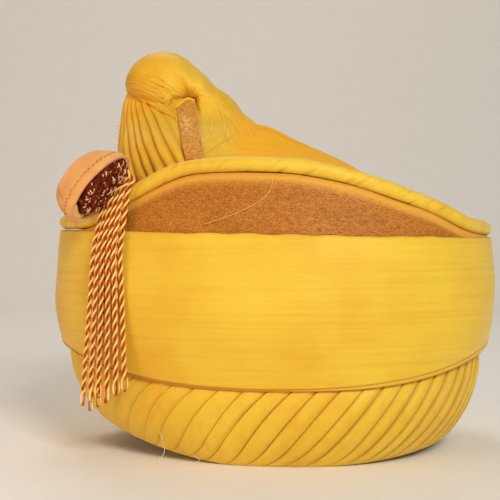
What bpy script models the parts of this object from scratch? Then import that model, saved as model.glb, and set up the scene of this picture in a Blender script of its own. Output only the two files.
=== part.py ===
"""A stiff pagri: an egg-shaped hull on a pleated padded rim, with a wide side band, a zari wall,
a thin roll, a ridged crown, a gathered peak at the front and a tassel of cords hung from a cap.

Metres, +Z up. The prow, where the peak stands, points to -X. The origin is the middle of the hull
on the surface that the rim stands on.
"""
import bisect
import math

import bmesh
import bpy
import numpy as np
from mathutils import Vector

# Hull, seen from above
HULL_LENGTH = 0.281
HULL_WIDTH = 0.232
EGG = 0.12  # how much slimmer the prow half is than the stern half
OPENING_LENGTH = 0.200
OPENING_WIDTH = 0.156
COLUMNS = 60  # stations round the hull

# Padded rim and its pleats
RIM_HEIGHT = 0.050
PROW_LIFT = 0.019  # how far the sole lifts at the prow
STERN_LIFT = 0.008  # and at the stern
SOLE_FLAT = 0.20  # the sole stays level this share of the way to each end
PLEATS = 60
PLEAT_STEP = 0.0012
PLEAT_SLANT = math.radians(23)  # turn of a pleat from its top to its foot
PLEAT_EDGE = 0.10  # share of a pleat taken by its folded edge

# Side band and the wall behind it
BAND_LAP = 0.004  # how far the band hangs over the rim
BAND_FOOT = RIM_HEIGHT - BAND_LAP
BAND_LIFT = 0.020  # how far the band's lower edge lifts at prow and stern
BAND_TOP = 0.1335
BAND_DIP = 0.0025  # the band's upper edge is this much higher at the prow, lower at the stern
BAND_THICK = 0.0018
BAND_ROWS = 3
WALL_THICK = 0.0025
WALL_HEIGHT = 0.168
LEAN_DEPTH = 0.014  # how far the wall leans in at its highest place

# Roll and crown
ROLL_RADIUS = 0.0045
ROLL_OVERHANG = 0.0030  # the roll stands this much proud of the wall
ROLL_UP = 0.0030  # middle of the roll above the band's upper edge where the roll is lowest
ROLL_RISE = 0.037
ROLL_SIDES = 8
CROWN_THICK = 0.0020
CROWN_LIFT = 0.001  # the crown cloth meets the roll this much above its middle
CROWN_CLEAR = 0.0009  # clearance between the crown cloth and the roll
RIDGE_RISE = 0.0295
CROWN_STEPS = 8  # strips of crown cloth from side to side

# Peak
HOOD_PLACE = -0.389  # middle of the gathers, as a share of half the hull's length
HOOD_LIFT = 0.0185  # middle of the gathers above the ridge
HOOD_REACH = 0.046
HOOD_HALF_THICK = 0.026
HOOD_DIMPLE = 0.27  # share of the thickness lost in the middle of the gathers
GATHERS = 24
GATHER_DEPTH = 0.0012
SKIRT_DROP = 0.052  # depth of the pleated skirt below the middle of the gathers
SKIRT_RISE = 0.014  # height of the same above it, inside the hood
SKIRT_ROOT = 0.20  # it starts this share of its height lower down, where the crown trims it
FLUTES = 22
FLUTE_DEPTH = 0.0016
STRAP_WIDTH = 0.0120
STRAP_THICK = 0.0014
THROAT_DEPTH = 0.006

# Tassel
CAP_HALF_LENGTH = 0.0245
CAP_HALF_WIDTH = 0.0145
CAP_DEPTH = 0.0235
CAP_THICK = 0.0020
CAP_ROWS = 5  # rings of the dome from its rim to near its pole
CAP_COLUMNS = 20
CAP_SPOT = -0.728  # middle of the mouth along the hull, as a share of half its length
CAP_SIDE = -0.704  # the same to the near side, as a share of half the hull's width
CAP_UP = 0.0259  # middle of the mouth above the band's upper edge
CAP_TILT = math.radians(50.5)  # lean of the mouth's long axis from level
CAP_TURN = math.radians(28)  # turn of the mouth towards the near side
CAP_BLUNT = 0.60  # power of the cosine that narrows the dome, lower for a blunter one
CAP_SAG = 0.0030  # the dome hangs this much towards the lower end of the mouth
HEAD_BULGE = 0.005  # the cords' root stands this much out of the mouth
HEAD_DEPTH = 0.016  # and this much into the cap
HEAD_START = -0.35  # the cords leave the mouth from here to its upper end, which is 1
CORD_RADIUS = 0.0017
CORD_LAYER = 1.9  # spacing of the outer cords from the inner ones, in cord radii
CORD_MIDDLE = math.radians(-133.0)
CORD_SPREAD = math.radians(0.8)  # turn round the hull from one cord to the next
CORD_FLARE = 1.95  # the bunch is this much wider at its foot
CORD_DRIFT = math.radians(1.8)  # and its foot hangs this much nearer the prow
TASSEL_DROP = 0.106  # length of the longest cord below the band's upper edge

GAP = 0.0003  # clearance between touching pieces

# Section of the padded rim. height: share of the rim's height; reach: share of the way from the
# head opening out to the wall's face at the band's foot; pleat: share of the pleats' full step
RIM_SECTION = (
    # height, reach, pleat
    (1.00, 0.935, 0.25),
    (0.89, 1.010, 0.80),
    (0.74, 1.038, 1.00),
    (0.56, 0.983, 1.00),
    (0.36, 0.853, 1.00),
    (0.17, 0.646, 1.00),
    (0.05, 0.468, 0.60),
    (0.00, 0.358, 0.00),
    (0.00, 0.082, 0.00),
    (0.10, 0.000, 0.00),
    (0.80, 0.000, 0.00),
    (1.00, 0.206, 0.00),
)
RIM_OUTER_ROWS = 8

# Outer face of the hull. height: share of the wall's height; inset: share of the wall's lean
HULL_PROFILE = (
    # height, inset
    (0.20, 0.820),
    (0.28, 0.600),
    (0.36, 0.370),
    (0.45, 0.120),
    (0.56, 0.000),
    (0.71, 0.060),
    (0.80, 0.190),
    (0.89, 0.480),
    (1.00, 0.930),
)

# Height of the roll along the hull. place: -1 at the prow to 1 at the stern; rise: share of the
# roll's whole rise
ROLL_LINE = (
    # place, rise
    (-1.00, 0.120),
    (-0.84, 0.140),
    (-0.76, 0.290),
    (-0.68, 0.500),
    (-0.54, 0.790),
    (-0.43, 0.940),
    (-0.30, 0.990),
    (-0.06, 0.985),
    (0.10, 0.945),
    (0.33, 0.780),
    (0.51, 0.570),
    (0.66, 0.385),
    (0.83, 0.100),
    (1.00, 0.000),
)

# Height of the crown's ridge above the roll. place: as above; rise: share of the ridge's rise
RIDGE_LINE = (
    # place, rise
    (-1.00, 0.000),
    (-0.92, 0.420),
    (-0.78, 0.850),
    (-0.60, 1.000),
    (-0.25, 1.000),
    (-0.07, 0.970),
    (0.08, 0.720),
    (0.22, 0.570),
    (0.36, 0.450),
    (0.55, 0.270),
    (0.80, 0.170),
    (0.93, 0.110),
    (1.00, 0.000),
)

# Outline of the hood round the middle of its gathers. turn: degrees from the stern's side upwards;
# reach: share of the hood's reach
HOOD_OUTLINE = (
    # turn, reach
    (-7, 0.700),
    (6, 0.570),
    (26, 0.430),
    (56, 0.415),
    (83, 0.498),
    (95, 0.596),
    (110, 0.720),
    (120, 0.804),
    (139, 0.912),
    (153, 0.950),
    (166, 0.940),
    (175, 0.830),
    (184, 0.660),
    (197, 0.510),
    (220, 0.390),
    (250, 0.350),
    (275, 0.330),
    (305, 0.420),
    (325, 0.640),
    (340, 0.820),
)

# Hood from the middle of its gathers to its outline. out: share of the way; thick: share of
# the half thickness
HOOD_PROFILE = (
    # out, thick
    (0.20, 0.985),
    (0.45, 1.000),
    (0.70, 0.860),
    (0.90, 0.520),
    (1.00, 0.000),
)

# Pleated skirt of the peak. height: share of its height; front, back: shares of the hood's reach
# from the middle of the gathers to the skirt's front and back; side: share of the hood's half
# thickness
SKIRT_SECTIONS = (
    # height, front, back, side
    (0.00, 1.050, 1.450, 2.950),
    (0.16, 1.035, 1.300, 2.720),
    (0.34, 1.025, 1.150, 2.300),
    (0.54, 1.000, 0.950, 1.500),
    (0.74, 0.960, 0.600, 0.800),
    (0.90, 0.880, 0.300, 0.400),
)

# Strap. height: as above; ahead: how far its middle is astern of the middle of the gathers, as a
# share of the hood's reach; sink: how deep it lies in the gathers, as a share of the hood's half
# thickness
STRAP_PATH = (
    # height, ahead, sink
    (0.00, 0.240, 0.000),
    (0.16, 0.150, 0.000),
    (0.34, 0.090, 0.000),
    (0.54, 0.025, 0.000),
    (0.70, -0.025, 0.000),
    (0.80, -0.055, 0.000),
)

# How the cords turn over the roll. across, up: direction from the roll's middle, out of the hull
# and upwards
ROLL_TURN = (
    # across, up
    (0.45, 0.90),
    (0.98, 0.05),
)

# Cords of the tassel, from the prow's side of the bunch to the stern's. inner, outer: how far the
# cord next to the band, and the one over it, hang, as a share of the tassel's drop
CORDS = (
    # inner, outer
    (1.000, 0.972),
    (0.972, 0.943),
    (0.943, 0.915),
    (0.896, 0.925),
    (0.868, 0.887),
)
# Stations down a cord beside the band, as shares of its drop
CORD_STATIONS = (0.12, 0.33, 0.60, 1.00)


def smooth(rows, place):
    """Value at place of the smooth curve through rows of (place, value), level past both ends."""
    places = [row[0] for row in rows]
    values = [row[1] for row in rows]
    if place <= places[0]:
        return values[0]
    if place >= places[-1]:
        return values[-1]
    i = bisect.bisect_right(places, place) - 1

    def slope(k):
        low, high = max(k - 1, 0), min(k + 1, len(rows) - 1)
        return (values[high] - values[low]) / (places[high] - places[low])

    span = places[i + 1] - places[i]
    t = (place - places[i]) / span
    return (
        values[i] * (1 + 2 * t) * (1 - t) ** 2
        + values[i + 1] * (3 - 2 * t) * t**2
        + span * t * (1 - t) * (slope(i) * (1 - t) - slope(i + 1) * t)
    )


def outline(theta, inset=0.0):
    """Point of the hull's egg-shaped outline at theta from the stern, moved in by inset."""
    x = HULL_LENGTH / 2 * math.cos(theta)
    y = HULL_WIDTH / 2 * math.sin(theta) * (1 + EGG * math.cos(theta))
    out_x = HULL_WIDTH / 2 * (math.cos(theta) + EGG * math.cos(2 * theta))
    out_y = HULL_LENGTH / 2 * math.sin(theta)
    size = math.hypot(out_x, out_y)
    return np.array((x - inset * out_x / size, y - inset * out_y / size))


def opening(theta):
    """Point of the head opening's outline."""
    x = OPENING_LENGTH / 2 * math.cos(theta)
    y = OPENING_WIDTH / 2 * math.sin(theta) * (1 + EGG * math.cos(theta))
    return np.array((x, y))


def sole_height(theta):
    """Height of the sole: level in the middle, lifting to prow and stern."""
    past = max(0.0, abs(math.cos(theta)) - SOLE_FLAT) / (1 - SOLE_FLAT)
    return (STERN_LIFT if math.cos(theta) > 0 else PROW_LIFT) * past**1.6


def band_lift(theta):
    return BAND_LIFT * abs(math.cos(theta)) ** 3


def band_foot(theta):
    return BAND_FOOT + band_lift(theta)


def band_top(theta):
    return BAND_TOP - BAND_DIP * math.cos(theta)


def rim_top(theta):
    return RIM_HEIGHT + band_lift(theta)


def hull_inset(z):
    """How far the band's outer face stands in from the outline at height z."""
    return LEAN_DEPTH * smooth(HULL_PROFILE, z / WALL_HEIGHT)


def wall_inset(z):
    """The same for the wall's outer face, which the band covers."""
    return hull_inset(z) + BAND_THICK + GAP


def roll_height(theta):
    """Height of the middle of the roll."""
    return BAND_TOP + ROLL_UP + ROLL_RISE * smooth(ROLL_LINE, math.cos(theta))


def roll_inset(theta):
    return wall_inset(roll_height(theta) - ROLL_RADIUS) + ROLL_RADIUS - ROLL_OVERHANG


def roll_middle(theta):
    return Vector((*outline(theta, roll_inset(theta)), roll_height(theta)))


def roll_slope(theta, step=0.01):
    """Rise of the roll for each metre along it."""
    ahead = roll_middle(theta + step) - roll_middle(theta - step)
    return ahead.z / ahead.xy.length


def wall_top(theta):
    """The wall ends just under the roll, measured square to the roll."""
    return roll_height(theta) - (ROLL_RADIUS + GAP) * math.hypot(1, roll_slope(theta))


def crown_edge(theta):
    """Where the crown cloth meets the roll."""
    inset = roll_inset(theta) + ROLL_RADIUS + CROWN_CLEAR
    return Vector((*outline(theta, inset), roll_height(theta) + CROWN_LIFT))


def crown_point(theta, across, lift=0.0):
    """Point of the crown's upper face on the strip that runs from side to side at theta.
    across is -1 at the near roll, 0 on the ridge and 1 at the far roll."""
    edge = crown_edge(theta)
    rise = RIDGE_RISE * smooth(RIDGE_LINE, math.cos(theta))
    share = (1 - abs(across)) ** 1.15
    return Vector((edge.x, abs(edge.y) * across, edge.z + rise * share + lift))


def ridge_height(x):
    """Height of the ridge above a place on the hull's middle line."""
    thetas = np.linspace(math.pi, 0, 91)
    ridge = [crown_point(theta, 0) for theta in thetas]
    return float(np.interp(x, [p.x for p in ridge], [p.z for p in ridge]))


def turns(count):
    """Equal angles round the hull."""
    return [2 * math.pi * k / count for k in range(count)]


def link(name, mesh, colour=None, roughness=0.6, metallic=0.0):
    """Puts a mesh into the part, or into the cutters where it has no colour."""
    obj = bpy.data.objects.new(name, mesh)
    if colour is None:
        cutters.objects.link(obj)
        obj.hide_render = True
        obj.display_type = "WIRE"
        return obj
    material = bpy.data.materials.new(name)
    material.use_nodes = True
    shader = material.node_tree.nodes["Principled BSDF"]
    shader.inputs["Base Color"].default_value = (*colour, 1)
    shader.inputs["Roughness"].default_value = roughness
    shader.inputs["Metallic"].default_value = metallic
    mesh.materials.append(material)
    part.objects.link(obj)
    return obj


def mesh_of(points, faces, weld=False):
    """A mesh from points and faces, with its faces turned outwards."""
    mesh = bpy.data.meshes.new("mesh")
    mesh.from_pydata([tuple(p) for p in points], [], faces)
    shape = bmesh.new()
    shape.from_mesh(mesh)
    if weld:
        bmesh.ops.remove_doubles(shape, verts=shape.verts, dist=1e-6)
    bmesh.ops.recalc_face_normals(shape, faces=shape.faces)
    shape.to_mesh(mesh)
    shape.free()
    mesh.shade_smooth()
    return mesh


def loft(rings, around=True, along=False, caps=False, halve=False):
    """Quads between rings of as many points each. around closes each ring, along joins the last
    ring to the first, caps fills the first and last ring, halve splits each quad in two."""
    count = len(rings[0])
    faces = []
    for i in range(len(rings) if along else len(rings) - 1):
        j = (i + 1) % len(rings)
        for k in range(count if around else count - 1):
            n = (k + 1) % count
            quad = (i * count + k, i * count + n, j * count + n, j * count + k)
            faces.extend((quad[:3], (quad[0], *quad[2:])) if halve else (quad,))
    if caps:
        last = (len(rings) - 1) * count
        faces.append(tuple(reversed(range(count))))
        faces.append(tuple(range(last, last + count)))
    return [p for ring in rings for p in ring], faces


def thicken(obj, thickness):
    """Gives an open surface a wall behind its outer face."""
    solid = obj.modifiers.new("Wall", "SOLIDIFY")
    solid.thickness = thickness
    solid.offset = -1
    solid.use_even_offset = True
    return obj


def cut(obj, cutter):
    boolean = obj.modifiers.new("Cut", "BOOLEAN")
    boolean.operation = "DIFFERENCE"
    boolean.solver = "EXACT"
    boolean.object = cutter
    return obj


def tidy(obj):
    """Joins the points that the cuts left closer than a fraction of the clearance."""
    weld = obj.modifiers.new("Tidy", "WELD")
    weld.merge_threshold = GAP / 10
    return obj


def rim_section(k, edge):
    """Closed section of the rim at pleat k. edge 0 is the pleat's raised fold, edge 1 where it
    dips under the next one."""
    points = []
    rows = len(RIM_SECTION)
    for row, (height, reach, pleat) in enumerate(RIM_SECTION):
        down = row / (RIM_OUTER_ROWS - 1)
        back = (rows - 1 - row) / (rows - RIM_OUTER_ROWS)
        shift = PLEAT_SLANT * min(down, max(back, 0.0) if row >= RIM_OUTER_ROWS else 1.0)
        theta = 2 * math.pi * (k + edge * (1 - PLEAT_EDGE)) / PLEATS - shift
        foot, top = sole_height(theta), rim_top(theta)
        inner, outer = opening(theta), outline(theta, wall_inset(BAND_FOOT))
        out = (outer - inner) / np.linalg.norm(outer - inner)
        step = PLEAT_STEP * pleat * ((1 - edge) - 1)
        x, y = inner + (outer - inner) * reach + out * step
        points.append((x, y, foot + (top - foot) * height))
    return points


def make_rim():
    rings = [rim_section(k, edge) for k in range(PLEATS) for edge in (0, 1)]
    return link("base_rim", mesh_of(*loft(rings, along=True)), (0.80, 0.50, 0.05), 0.5)


def band_rows():
    """Heights of the rows of the band, as functions of theta. The wall shares all but the first."""

    def row(share):
        return lambda theta: share * band_top(theta) + (1 - share) * (rim_top(theta) + GAP)

    return [band_foot] + [row(k / BAND_ROWS) for k in range(BAND_ROWS + 1)]


def wall_rows():
    def row(share):
        return lambda theta: share * wall_top(theta) + (1 - share) * band_top(theta)

    return band_rows()[1:] + [row(0.5), row(1.0)]


def shell(name, rows, inset, thickness, colour, roughness, metallic=0.0):
    """A wall round the hull through rows of heights, with its outer face at inset(z)."""
    rings = []
    for row in rows:
        ring = []
        for theta in turns(COLUMNS):
            z = row(theta)
            ring.append((*outline(theta, inset(z)), z))
        rings.append(ring)
    obj = link(name, mesh_of(*loft(rings)), colour, roughness, metallic)
    return thicken(obj, thickness)


def make_band():
    return shell("side_band", band_rows(), hull_inset, BAND_THICK, (0.85, 0.55, 0.06), 0.5)


def make_wall():
    return shell("zari_wall", wall_rows(), wall_inset, WALL_THICK, (0.50, 0.25, 0.06), 0.45, 0.4)


def tube_ring(middle, along, radius, sides, up=Vector((0, 0, 1))):
    """Ring of a tube round middle, square to along."""
    side = along.cross(up).normalized()
    over = side.cross(along).normalized()
    return [
        middle + radius * (math.cos(a) * side + math.sin(a) * over) for a in turns(sides)
    ]


def make_roll():
    rings = []
    for theta in turns(COLUMNS):
        step = math.pi / COLUMNS
        along = (roll_middle(theta + step) - roll_middle(theta - step)).normalized()
        rings.append(tube_ring(roll_middle(theta), along, ROLL_RADIUS, ROLL_SIDES))
    return link("crown_roll", mesh_of(*loft(rings, along=True)), (0.90, 0.62, 0.08), 0.45)


def crown_strips(lift=0.0):
    """Rows of the crown's upper face from prow to stern."""
    thetas = [math.pi * (1 - k / (COLUMNS // 2)) for k in range(COLUMNS // 2 + 1)]
    across = [2 * k / CROWN_STEPS - 1 for k in range(CROWN_STEPS + 1)]
    return [[crown_point(theta, share, lift) for share in across] for theta in thetas]


def make_crown():
    mesh = mesh_of(*loft(crown_strips(), around=False, halve=True), weld=True)
    if mesh.polygons[len(mesh.polygons) // 2].normal.z < 0:
        mesh.flip_normals()
    return thicken(link("crown_cloth", mesh, (0.80, 0.45, 0.05), 0.5), CROWN_THICK)


def crown_block():
    """Cutter that fills everything under the crown, up to a gap above its cloth."""
    rows = []
    for strip in crown_strips(2 * GAP):
        floor = [Vector((p.x, p.y, RIM_HEIGHT)) for p in reversed(strip)]
        rows.append(strip + floor)
    return link("crown_block", mesh_of(*loft(rows, caps=True, halve=True), weld=True))


def hood_middle():
    x = HOOD_PLACE * HULL_LENGTH / 2
    return Vector((x, 0, ridge_height(x) + HOOD_LIFT))


def fan_shut(near, rings, far):
    """Faces between rings of points, with a point at each end closing them."""
    points, faces = loft(rings)
    count = len(rings[0])
    last = (len(rings) - 1) * count
    for k in range(count):
        n = (k + 1) % count
        faces.append((len(points), n, k))
        faces.append((len(points) + 1, last + k, last + n))
    return points + [near, far], faces


def hood_mesh(grow=0.0):
    """Closed puffed form of the hood, grown by a clearance where it is used to cut."""
    middle = hood_middle()
    wrapped = [(turn - 360, reach) for turn, reach in HOOD_OUTLINE[-4:]]
    wrapped += HOOD_OUTLINE
    wrapped += [(turn + 360, reach) for turn, reach in HOOD_OUTLINE[:4]]
    near = [(out, -thick) for out, thick in HOOD_PROFILE]
    far = [(out, thick) for out, thick in reversed(HOOD_PROFILE[:-1])]
    rings = []
    for out, thick in near + far:
        ring = []
        for k in range(2 * GATHERS):
            turn = 360 * k / (2 * GATHERS)
            reach = (HOOD_REACH * smooth(wrapped, turn) + grow) * out
            angle = math.radians(turn)
            deep = HOOD_DIMPLE * max(0.0, 1 - out / 0.5) ** 2
            depth = (HOOD_HALF_THICK + grow) * (abs(thick) - deep)
            depth -= GATHER_DEPTH * (k % 2) * (1 - out)
            y = math.copysign(max(depth, 0.0), thick)
            ring.append(middle + Vector((reach * math.cos(angle), y, reach * math.sin(angle))))
        rings.append(ring)
    pole = Vector((0, (HOOD_HALF_THICK + grow) * (1 - HOOD_DIMPLE), 0))
    return mesh_of(*fan_shut(middle - pole, rings, middle + pole))


def skirt_side(height, back, sink=0.0):
    """Point of the skirt's near side, ahead of any flute, back metres astern of the gathers."""
    middle = hood_middle()
    front, rear, side = (
        smooth([(row[0], row[column]) for row in SKIRT_SECTIONS], height) for column in (1, 2, 3)
    )
    half = (front + rear) * HOOD_REACH / 2
    along = (back - (rear - front) * HOOD_REACH / 2) / half
    depth = HOOD_HALF_THICK * (side * math.sqrt(max(0.0, 1 - along**2)) - sink)
    z = middle.z - SKIRT_DROP + (SKIRT_DROP + SKIRT_RISE) * height
    return Vector((middle.x + back, -depth, z))


def skirt_ring(height, front, back, side):
    """Fluted oval section of the skirt."""
    middle = hood_middle()
    fore, aft = middle.x - front * HOOD_REACH, middle.x + back * HOOD_REACH
    z = middle.z - SKIRT_DROP + (SKIRT_DROP + SKIRT_RISE) * height
    ring = []
    for k in range(2 * FLUTES):
        angle = math.pi * k / FLUTES
        inset = FLUTE_DEPTH * (k % 2)
        x = (fore + aft) / 2 + ((aft - fore) / 2 - inset) * math.cos(angle)
        y = (side * HOOD_HALF_THICK - inset) * math.sin(angle)
        ring.append((x, y, z))
    return ring


def strap_mesh(grow=0.0, deep=0.0, high=0.0):
    """The strap, lying on the skirt's near side; grown by a clearance to cut its seat, and
    more behind and in front of it to cut the throat that it hangs from."""
    rings = []
    half = STRAP_WIDTH / 2 + grow
    for row, (height, ahead, sink) in enumerate(STRAP_PATH):
        back = ahead * HOOD_REACH
        left = skirt_side(height, back - half, sink)
        right = skirt_side(height, back + half, sink)
        away = Vector((0, -1, 0.5)).normalized()
        outer = STRAP_THICK + 2 * GAP + grow + high
        inner = 2 * GAP - grow - deep
        end = grow * (1 if row == len(STRAP_PATH) - 1 else -1 if row == 0 else 0)
        lift = Vector((0, 0, end))
        rings.append(
            [
                left + away * inner + lift,
                right + away * inner + lift,
                right + away * outer + lift,
                left + away * outer + lift,
            ]
        )
    return mesh_of(*loft(rings, caps=True))


def make_peak(under):
    """Hood, pleated skirt and strap, each cut clear of the one before."""
    cutter = link("strap_seat", strap_mesh(GAP))
    strap = link("peak_strap", strap_mesh(), (0.45, 0.25, 0.08), 0.45, 0.4)
    tidy(cut(strap, under))
    hood = link("peak_hood", hood_mesh(), (0.90, 0.58, 0.06), 0.5)
    throat = link("throat", strap_mesh(2 * GAP, THROAT_DEPTH, HOOD_REACH))
    tidy(cut(cut(hood, under), throat))
    rows = ((-SKIRT_ROOT, *SKIRT_SECTIONS[0][1:]), *SKIRT_SECTIONS)
    rings = [skirt_ring(*row) for row in rows]
    skirt = link("peak_pleats", mesh_of(*loft(rings, caps=True)), (0.90, 0.60, 0.07), 0.5)
    for other in (cutter, link("hood_seat", hood_mesh(GAP)), under):
        cut(skirt, other)
    tidy(skirt)


def cap_axes():
    """Middle of the cap's mouth, then the mouth's long axis, its short axis and the dome's."""
    x = CAP_SPOT * HULL_LENGTH / 2
    y = CAP_SIDE * HULL_WIDTH / 2
    long = Vector((math.cos(CAP_TILT), 0, math.sin(CAP_TILT)))
    dome = Vector((-math.sin(CAP_TILT), 0, math.cos(CAP_TILT)))
    side = Vector((0, 1, 0))
    turned = dome * math.cos(CAP_TURN) + side * math.sin(CAP_TURN)
    return Vector((x, y, BAND_TOP + CAP_UP)), long, turned.cross(long), turned


def dome_rings(rim, length, width, depths, sag, rows, columns):
    """Rings of half an ellipsoid from its rim to near its pole, then the pole."""
    middle, long, side, dome = rim
    rings = []
    for row in range(rows):
        tilt = math.pi / 2 * row / rows
        flat = math.cos(tilt) ** CAP_BLUNT
        ring = []
        for angle in turns(columns):
            spread = long * (length * math.cos(angle)) + side * (width * math.sin(angle))
            ring.append(middle + spread * flat + (dome * depths - long * sag) * math.sin(tilt))
        rings.append(ring)
    return rings, middle + dome * depths - long * sag


def make_cap():
    sizes = (CAP_HALF_LENGTH, CAP_HALF_WIDTH, CAP_DEPTH, CAP_SAG)
    rings, pole = dome_rings(cap_axes(), *sizes, CAP_ROWS, CAP_COLUMNS)
    points, faces = loft(rings)
    last = (len(rings) - 1) * CAP_COLUMNS
    for k in range(CAP_COLUMNS):
        faces.append((len(points), last + k, last + (k + 1) % CAP_COLUMNS))
    mesh = mesh_of(points + [pole], faces)
    return thicken(link("tassel_cap", mesh, (0.72, 0.42, 0.16), 0.6), CAP_THICK)


def head_point(column, row, depth):
    """Point of the cords' root on a lattice over the cap's mouth, domed by depth."""
    middle, long, side, dome = cap_axes()
    clear = CAP_THICK + 2 * GAP
    along = (column - 1) / (2 * len(CORDS) - 1)
    s = HEAD_START + (1 - HEAD_START) * along if column else -1
    t = row / 2 - 1
    across, down = s * math.sqrt(1 - t * t / 2), t * math.sqrt(1 - s * s / 2)
    bulge = math.sqrt(max(0.0, 1 - across**2 - down**2))
    return (
        middle
        + long * (across * (CAP_HALF_LENGTH - clear))
        + side * (down * (CAP_HALF_WIDTH - clear))
        + dome * (depth * bulge)
    )


def cord_path(root, number, layer, drop):
    """Points down a cord: from the root, out over the roll and down beside the band."""
    turn = CORD_SPREAD * (len(CORDS) - 0.5 - number)
    theta = CORD_MIDDLE + turn
    away = Vector((*(outline(theta, -1) - outline(theta)), 0))
    out = CORD_RADIUS * (1 + CORD_LAYER * layer) + 3 * GAP
    points = [root]
    for across, up in ROLL_TURN:
        turn_over = away * across + Vector((0, 0, up))
        spot = roll_middle(theta) + (ROLL_RADIUS + out) * turn_over
        if spot.z < points[-1].z - CORD_RADIUS:
            points.append(spot)
    top = band_top(theta)
    for share in CORD_STATIONS:
        spread = theta + (turn * (CORD_FLARE - 1) - CORD_DRIFT) * share
        points.append(Vector((*outline(spread, -out), top - drop * share)))
    return points


def make_tassel():
    """The root as two lattices joined at their edges, with a cord drawn out of each of its cells."""
    columns, rows = 2 * len(CORDS), 4
    points = {}
    for i in range(columns + 1):
        for j in range(rows + 1):
            points[i, j, 0] = head_point(i, j, -HEAD_BULGE)
            edge = i in (0, columns) or j in (0, rows)
            points[i, j, 1] = points[i, j, 0] if edge else head_point(i, j, HEAD_DEPTH)
    keys = [key for key in points if key[2] == 0 or points[key] is not points[(*key[:2], 0)]]
    spots = {key: n for n, key in enumerate(keys)}
    coords = [points[key] for key in keys]

    def spot(i, j, face):
        return spots.get((i, j, face), spots[i, j, 0])

    faces = [
        (spot(i, j, 1), spot(i + 1, j, 1), spot(i + 1, j + 1, 1), spot(i, j + 1, 1))
        for i in range(columns)
        for j in range(rows)
    ]
    for i, drops in enumerate(CORDS):
        for layer, drop in enumerate(drops):
            a, b = 2 * i + 1, 3 - 2 * layer
            around = ((1, 0), (1, 1), (0, 1), (-1, 1), (-1, 0), (-1, -1), (0, -1), (1, -1))
            corners = [spot(a + u, b + v, 0) for u, v in around]
            number = 2 * (len(CORDS) - 1 - i) + layer
            path = cord_path(coords[spot(a, b, 0)], number, layer, drop * TASSEL_DROP)
            long, side = cap_axes()[1:3]
            start = [path[0] + CORD_RADIUS * (long * u + side * v).normalized() for u, v in around]
            rings = [start]
            for k in range(1, len(path)):
                ahead = (path[min(k + 1, len(path) - 1)] - path[k - 1]).normalized()
                rings.append(turned_ring(path[k], ahead, long, side, around))
            for ring in rings:
                base = len(coords)
                coords.extend(ring)
                fresh = list(range(base, base + 8))
                for k in range(8):
                    n = (k + 1) % 8
                    faces.append((corners[k], corners[n], fresh[n], fresh[k]))
                corners = fresh
            faces.append(tuple(corners))
    used = sorted({v for face in faces for v in face})
    order = {v: n for n, v in enumerate(used)}
    mesh = mesh_of([coords[v] for v in used], [tuple(order[v] for v in face) for face in faces])
    link("tassel", mesh, (0.60, 0.27, 0.06), 0.5)


def turned_ring(middle, ahead, long, side, around):
    """Ring of a cord square to its run, kept from twisting by the cap's long axis."""
    first = (long - ahead * long.dot(ahead)).normalized()
    second = ahead.cross(first)
    if second.dot(side) < 0:
        second = -second
    return [middle + CORD_RADIUS * (first * u + second * v).normalized() for u, v in around]


part = bpy.data.collections.new("pagri")
cutters = bpy.data.collections.new("cutters")


def main():
    for obj in list(bpy.data.objects):
        bpy.data.objects.remove(obj)
    bpy.context.scene.collection.children.link(part)
    bpy.context.scene.collection.children.link(cutters)
    make_rim()
    make_band()
    make_wall()
    make_roll()
    make_crown()
    make_peak(crown_block())
    make_cap()
    make_tassel()


main()
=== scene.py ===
import math

import bpy
import numpy as np
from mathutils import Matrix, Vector


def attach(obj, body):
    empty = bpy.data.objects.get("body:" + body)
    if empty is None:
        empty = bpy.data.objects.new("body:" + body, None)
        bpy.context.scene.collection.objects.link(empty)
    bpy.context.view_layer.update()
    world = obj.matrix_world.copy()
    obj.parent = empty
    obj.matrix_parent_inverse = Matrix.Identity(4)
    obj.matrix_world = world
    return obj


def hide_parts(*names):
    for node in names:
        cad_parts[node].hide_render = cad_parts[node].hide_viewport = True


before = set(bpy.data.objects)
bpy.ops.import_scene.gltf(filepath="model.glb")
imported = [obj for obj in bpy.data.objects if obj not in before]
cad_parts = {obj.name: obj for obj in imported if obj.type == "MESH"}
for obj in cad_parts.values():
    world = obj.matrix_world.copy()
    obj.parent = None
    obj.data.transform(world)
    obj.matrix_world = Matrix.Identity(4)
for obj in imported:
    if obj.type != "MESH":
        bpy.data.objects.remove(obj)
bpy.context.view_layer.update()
tau = 2 * math.pi

# Named sizes shared with the solids: metres, and the same tables of shares
hull = {
    "length": 0.281,
    "width": 0.232,
    "egg": 0.12,
    "openingLength": 0.200,
    "openingWidth": 0.156,
    "rimHeight": 0.050,
    "prowLift": 0.019,
    "sternLift": 0.008,
    "soleFlat": 0.20,
    "bandFoot": 0.046,
    "bandLift": 0.020,
    "bandTop": 0.1335,
    "bandDip": 0.0025,
    "bandThick": 0.0018,
    "wallThick": 0.0025,
    "wallHeight": 0.168,
    "leanDepth": 0.014,
    "rollRadius": 0.0045,
    "rollOverhang": 0.0030,
    "rollUp": 0.0030,
    "rollRise": 0.037,
    "crownThick": 0.0020,
    "crownLift": 0.001,
    "crownClear": 0.0009,
    "ridgeRise": 0.0295,
    "gap": 0.0003,
}

# each row: share of the rim's height, reach from opening to face, share of the pleats
rimSection = [
    (1.00, 0.935, 0.25), (0.89, 1.010, 0.80), (0.74, 1.038, 1.00), (0.56, 0.983, 1.00),
    (0.36, 0.853, 1.00), (0.17, 0.646, 1.00), (0.05, 0.468, 0.60), (0.00, 0.358, 0.00),
    (0.00, 0.082, 0.00), (0.10, 0.000, 0.00), (0.80, 0.000, 0.00), (1.00, 0.206, 0.00),
]
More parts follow.
